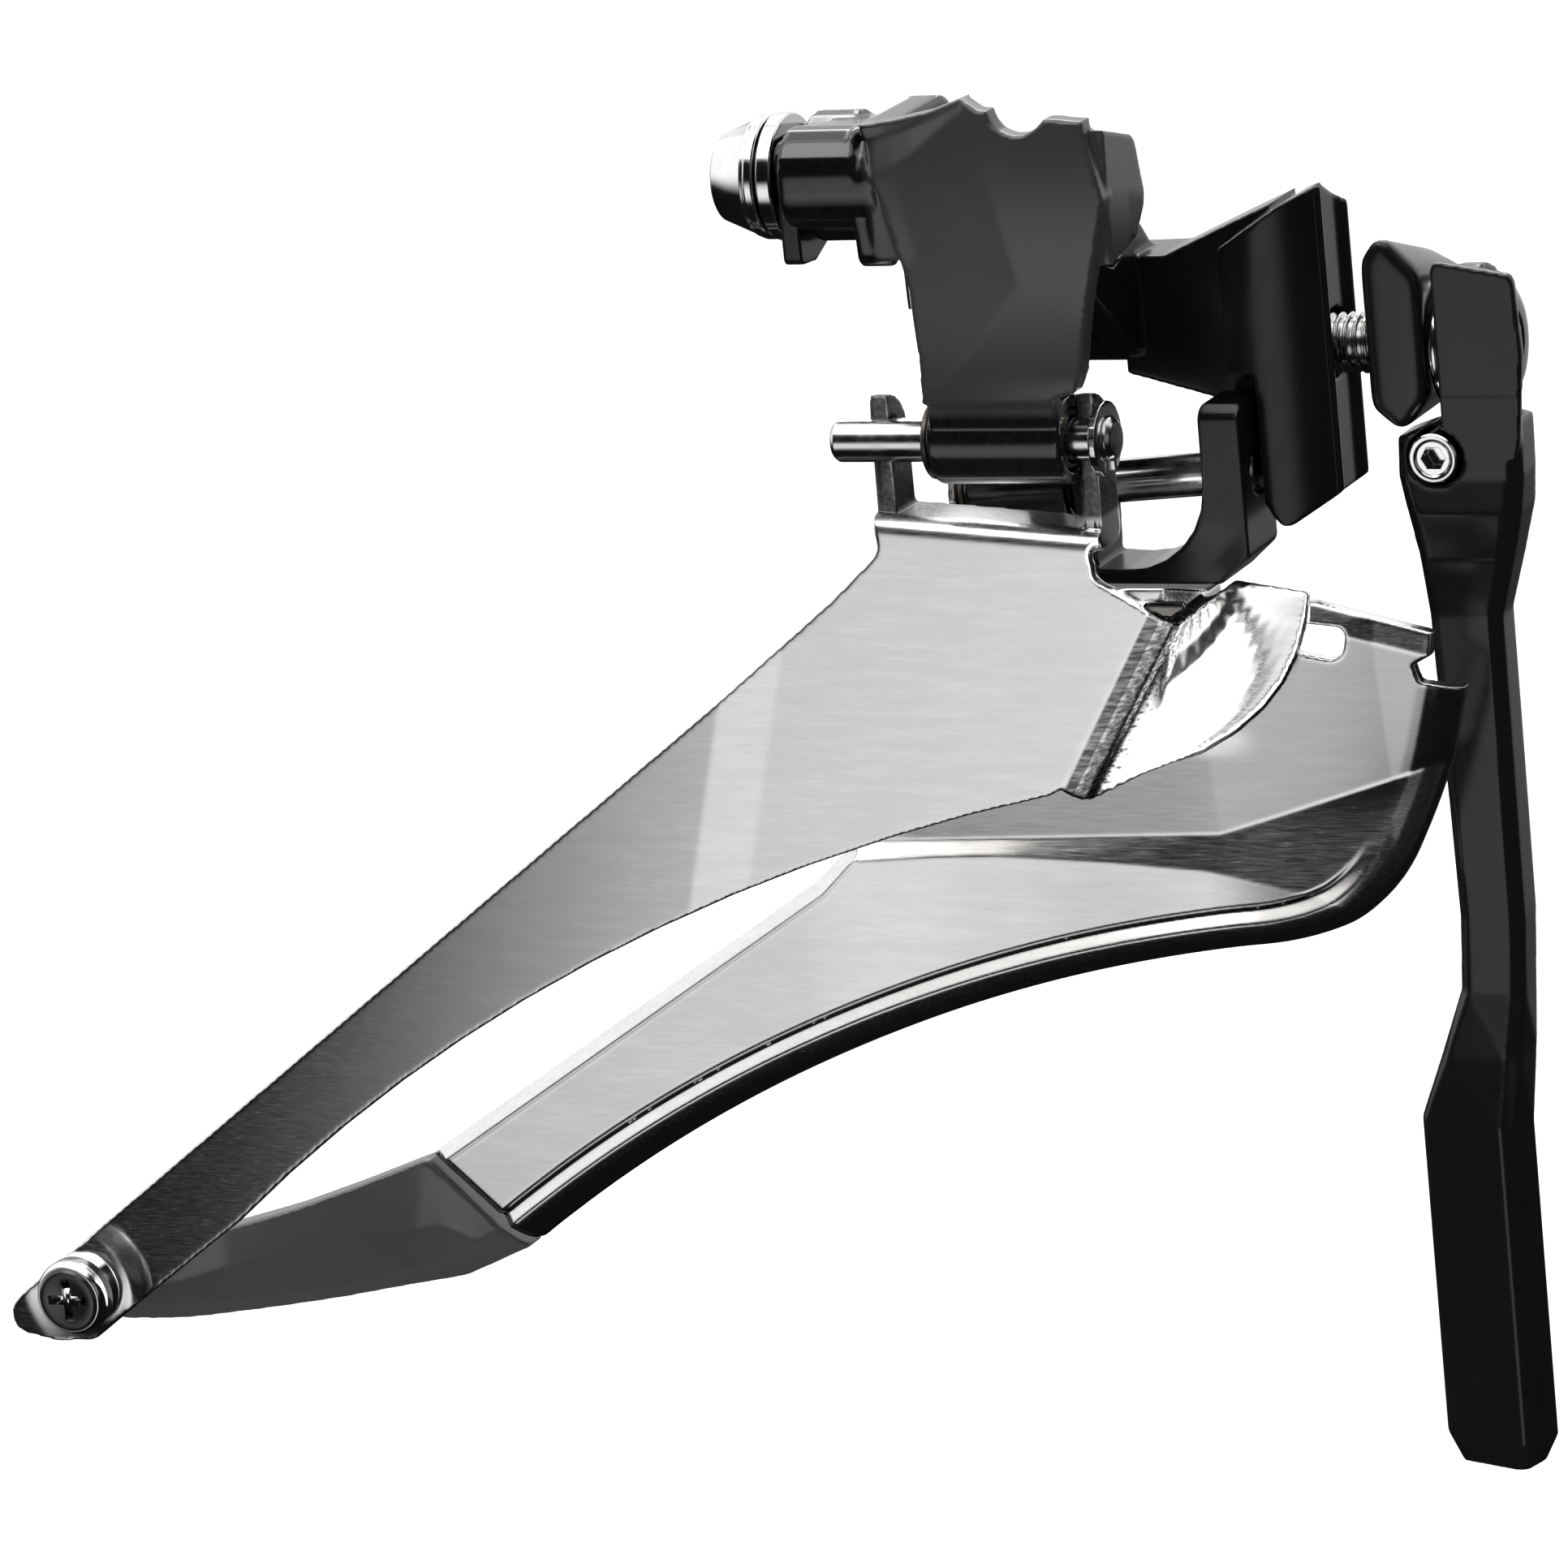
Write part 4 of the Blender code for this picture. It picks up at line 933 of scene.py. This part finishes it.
def build_pins():
    """The linkage's four pins and five collared bushes."""
    lower = (0.5, -LINK_DROP)
    # Name, body, point on the axis, tilt, and where it starts and ends along the axis.
    pins = [
        ("outer_upper_pin", "outer_link", OUTER_UPPER, 0.0, -10.6, 9.8),
        ("outer_lower_pin", "cage", OUTER_LOWER, 0.0, -15.7, 8.0),
        ("inner_upper_pin", "mount_body", INNER_UPPER, INNER_TILT, -6.2, 5.6),
        ("inner_lower_pin", "cage", INNER_LOWER, INNER_TILT, -11.5, 14.4)]
    for name, body, centre, tilt, start, end in pins:
        pin = crisp(turned(name + "_turned", "X", (0, 0), pin_profile(start, end)), 0.06)
        stand_for(tilted(pin, centre, tilt), body, "pin_steel", name)
    # The same, with an offset from the axis before the ends and the collar's radius after them.
    bushes = [
        ("outer_upper_bush", "mount_body", OUTER_UPPER, 0.0, (0, 0), -1.4, 4.3, 3.1),
        ("outer_lower_bush_front", "outer_link", OUTER_LOWER, 0.0, (0, 0), 0.2, 4.4, 2.4),
        ("outer_lower_bush_rear", "outer_link", OUTER_LOWER, 0.0, (0, 0), -7.3, -1.0, 3.1),
        ("inner_upper_bush", "inner_link", INNER_UPPER, INNER_TILT, (0, 0), -3.8, 1.3, 2.4),
        ("inner_lower_bush", "inner_link", INNER_UPPER, INNER_TILT, lower, -10.3, -1.1, 3.1)]
    for name, body, centre, tilt, offset, start, end, collar in bushes:
        bush = tube(name + "_turned", "X", offset, [
            (start, 2.0), (start, collar - 0.1), (start + 0.1, collar), (start + 0.4, collar),
            (start + 0.5, collar - 0.1), (start + 0.5, 2.4), (end - 0.2, 2.4), (end, 2.25), (end, 2.0),
            (end - 0.1, 1.9), (start + 0.1, 1.9)])
        stand_for(tilted(bush, centre, tilt), body, "bronze_bush", name)


def build_rivets():
    """Two rivets with low heads through the bridge between the plates."""
    for name, centre in RIVETS.items():
        rivet = turned(name + "_turned", "Y", centre, [
            (-9.6, 0.5), (-9.55, 0.9), (-9.4, 1.4), (-9.1, 1.8), (-8.85, 2.0), (-8.75, 2.0), (-8.75, 1.15),
            (-5.6, 1.15), (-5.6, 2.0), (-5.5, 2.0), (-5.25, 1.8), (-5.05, 1.3), (-5.0, 0.6)], 48)
        stand_for(rivet, "cage", "pin_steel", name)


def build_clips():
    """A clip on one end of each lower pin."""
    for name in ("outer_lower_clip", "inner_lower_clip"):
        stand_for(softened(name, name + "_round", 0.07, 4), "cage", "pin_steel", name)


def build_spring():
    """Torsion spring with one leg over the body and one behind the outer link."""
    start = -6.6
    steps = 48
    path = [Vector((start - 0.2, -2.3, -8.0)), Vector((start - 0.1, -2.8, -4.0))]
    for step in range(4 * steps + steps // 4 + 1):
        angle = pi - 2 * pi * step / steps
        path.append(Vector((start + step / steps, *spoke(3.0, angle))))
    path.append(path[-1] + Vector((0.1, 4.0, 0.7)))
    curve = bpy.data.curves.new("return_spring_wire", "CURVE")
    curve.dimensions = "3D"
    curve.bevel_depth = 0.42 * MM
    curve.bevel_resolution = 5
    curve.use_fill_caps = True
    wire = curve.splines.new("POLY")
    wire.points.add(len(path) - 1)
    for point, spot in zip(wire.points, path):
        point.co = (*((OUTER_UPPER + spot) * MM), 1.0)
    spring = bpy.data.objects.new("return_spring_wire", curve)
    bpy.context.scene.collection.objects.link(spring)
    stand_for(spring, "mount_body", "pin_steel", "return_spring")


def build_small_parts():
    """Pins, bushes, spring and fasteners."""
    build_mounting_bolt()
    build_cable_anchor()
    build_tail_fasteners()
    build_catcher_screw()
    build_limit_screws()
    build_pins()
    build_rivets()
    build_clips()
    build_spring()


# ---------------------------------------------------------------- cast and moulded parts

# The CAD link's front plate bows out in two straight runs: depths at three heights.
BOW_HEIGHTS = [-3.4, 11.0, 24.6]
BOW_DEPTHS = [0.0, -3.3, -2.1]
LINK_BARREL = 3.5     # radius of its lower barrel

# Its top edge, the bevel beside that edge, and the ridge of its fold. Both lines are lists of (x, z).
LINK_TOP_EDGE = [(-33.0, 19.9), (-29.4, 21.2), (-25.0, 22.3), (-20.4, 24.2)]
BEVEL_FRONT, BEVEL_REAR, BEVEL_SLOPE = -20.0, -29.6, 0.27
RIDGE = [(-19.4, 24.7), (-16.4, 11.7), (-16.2, 10.1), (-24.0, 1.7)]


def outer_link_shape(points):
    """Bows the front plate smoothly, folds it at a ridge, bevels its top and blends it into the barrel."""
    x, y, z = points.T
    places = np.stack((x, z), axis=1)
    front = 1 - ramp(y, -20.0, -18.5)
    height = np.clip(z, BOW_HEIGHTS[0], BOW_HEIGHTS[-1])
    from_top = distance_to(LINK_TOP_EDGE, places)
    bevel = BEVEL_SLOPE * np.clip(ramp(-x, 19.0, 28.0) * 2.0 + 0.7 - from_top, 0.0, None)
    bevel = bevel * (x < BEVEL_FRONT) * (x > BEVEL_REAR) * (y < -19.5)
    cad_bow = np.interp(height, BOW_HEIGHTS, BOW_DEPTHS)
    bow = np.polyval(np.polyfit(BOW_HEIGHTS, BOW_DEPTHS, 2), height)
    ridge_x = through([(-z_at, x_at) for x_at, z_at in RIDGE], -z)
    side = np.where(x > ridge_x, 0.06, 0.095)
    fold = side * np.clip(distance_to(RIDGE, places), 0.0, 8.0) * ramp(z, -1.0, 3.0)
    flat = y.min() + cad_bow - cad_bow.min()
    y = np.where(np.abs(y - flat) < 0.12, flat, y)
    shaped = y + front * (bow - cad_bow + fold + bevel)
    barrel = OUTER_LOWER.y - np.sqrt(np.clip(LINK_BARREL ** 2 - (z - OUTER_LOWER.z) ** 2, 0.0, None))
    blended_in = np.minimum(np.maximum(shaped, barrel), shaped + 0.9)
    shaped = np.where((front > 0.5) & (z < 0.3), blended_in, shaped)
    return np.stack((x, shaped, z), axis=1)


# The CAD guide sweeps outboard towards the tail in straight 4 mm slices. Its ridges are (x, z) lines.
GUIDE_START, GUIDE_END, GUIDE_SWEEP = -80.0, -108.0, -7.75
GUIDE_SLICES = np.arange(GUIDE_END, GUIDE_START + 1.0, 4.0)
UPPER_RIDGE = [(-108.6, -78.5), (-102.4, -76.8), (-93.5, -75.9), (-84.5, -74.4), (-81.5, -76.0)]
LOWER_RIDGE = [(-106.7, -80.3), (-93.9, -79.8), (-86.5, -78.2), (-83.0, -76.7), (-78.6, -74.2)]


def guide_sweep(x):
    """How far outboard the guide lies at a place along X."""
    return GUIDE_SWEEP * ramp(-x, -GUIDE_START, -GUIDE_END)


def tail_guide_shape(points):
    """Smooths the guide's sweep and turns its lower part inwards in two steps, below two ridges."""
    x, y, z = points.T
    y = y + guide_sweep(x) - np.interp(x, GUIDE_SLICES, guide_sweep(GUIDE_SLICES))
    below_upper = np.clip(through(UPPER_RIDGE, x) - z, 0.0, None)
    below_lower = np.clip(through(LOWER_RIDGE, x) - z, 0.0, None)
    turned_in = 0.34 * below_upper + 0.4 * below_lower
    return np.stack((x, y + turned_in, z), axis=1)


# The body's block: the middle of its crowned face, the crown's width for each step, and its rear end.
CROWN_X, CROWN_STEP, BLOCK_REAR = -3.6, 2.4, -9.0


def body_shape(points):
    """Crowns the block's outboard face from front to rear."""
    x, y, z = points.T
    outboard = 1 - ramp(y, -6.6, -5.6)
    crown = 0.3 * np.clip(np.abs(x - CROWN_X) / CROWN_STEP, 0.0, 2.2) ** 2
    return np.stack((x, y + outboard * np.where(x > BLOCK_REAR, crown, 0.0), z), axis=1)


# The catcher base: its outboard side, its width, and the height above which its top slopes.
BASE_OUTER_Y, BASE_WIDTH, BASE_SHOULDER = -5.0, 10.6, 3.2


def catcher_base_shape(points):
    """Slopes the block's top down towards the frame side."""
    x, y, z = points.T
    inboard = np.clip((y - BASE_OUTER_Y) / BASE_WIDTH, 0.0, 1.0)
    return np.stack((x, y, z - 0.5 * inboard * np.clip(z - BASE_SHOULDER, 0.0, None)), axis=1)


# The catcher arm's cheek: its heights and its outboard face.
CHEEK_TOP, CHEEK_FOOT, CHEEK_Y = -3.0, -11.0, -6.3


def catcher_arm_shape(points):
    """Makes the cheek and the shank's top one face."""
    x, y, z = points.T
    cheek = (z < CHEEK_TOP) & (z > CHEEK_FOOT)
    return np.stack((x, np.where(cheek, np.maximum(y, CHEEK_Y), y), z), axis=1)


SHAPES = {"catcher_arm": catcher_arm_shape, "outer_link": outer_link_shape, "tail_guide": tail_guide_shape,
          "body": body_shape, "catcher_base": catcher_base_shape}

# Voxel size and smoothing passes of each softened copy.
CAST = {
    "body": (0.2, 8), "outer_link": (0.2, 8), "inner_link": (0.2, 6), "catcher_base": (0.26, 50),
    "catcher_arm": (0.2, 8), "cage_bracket": (0.16, 6), "tail_guide": (0.18, 12),
    "cable_clamp_plate": (0.12, 5)}


def build_cast_pieces(bodies, slots):
    """Softened and reshaped copies of the cast and moulded nodes."""
    for node, (voxel, passes) in CAST.items():
        piece = softened(node, node + "_skin", voxel, passes, SHAPES.get(node))
        stand_for(piece, bodies[node], slots[node], node)


def main():
    """The studio, then a piece for each CAD node and a few details beside them."""
    finish_parts()
    build_camera()
    build_floor()
    build_lights()
    slots = {part["node"]: part["material_slot"] for part in frame["record"]["subparts"]}
    groups = frame["record"]["behaviour"]["bodies"]
    bodies = {node: body for body, members in groups.items() for node in members}
    build_outer_plate()
    build_inner_plate()
    build_cast_pieces(bodies, slots)
    build_small_parts()


main()
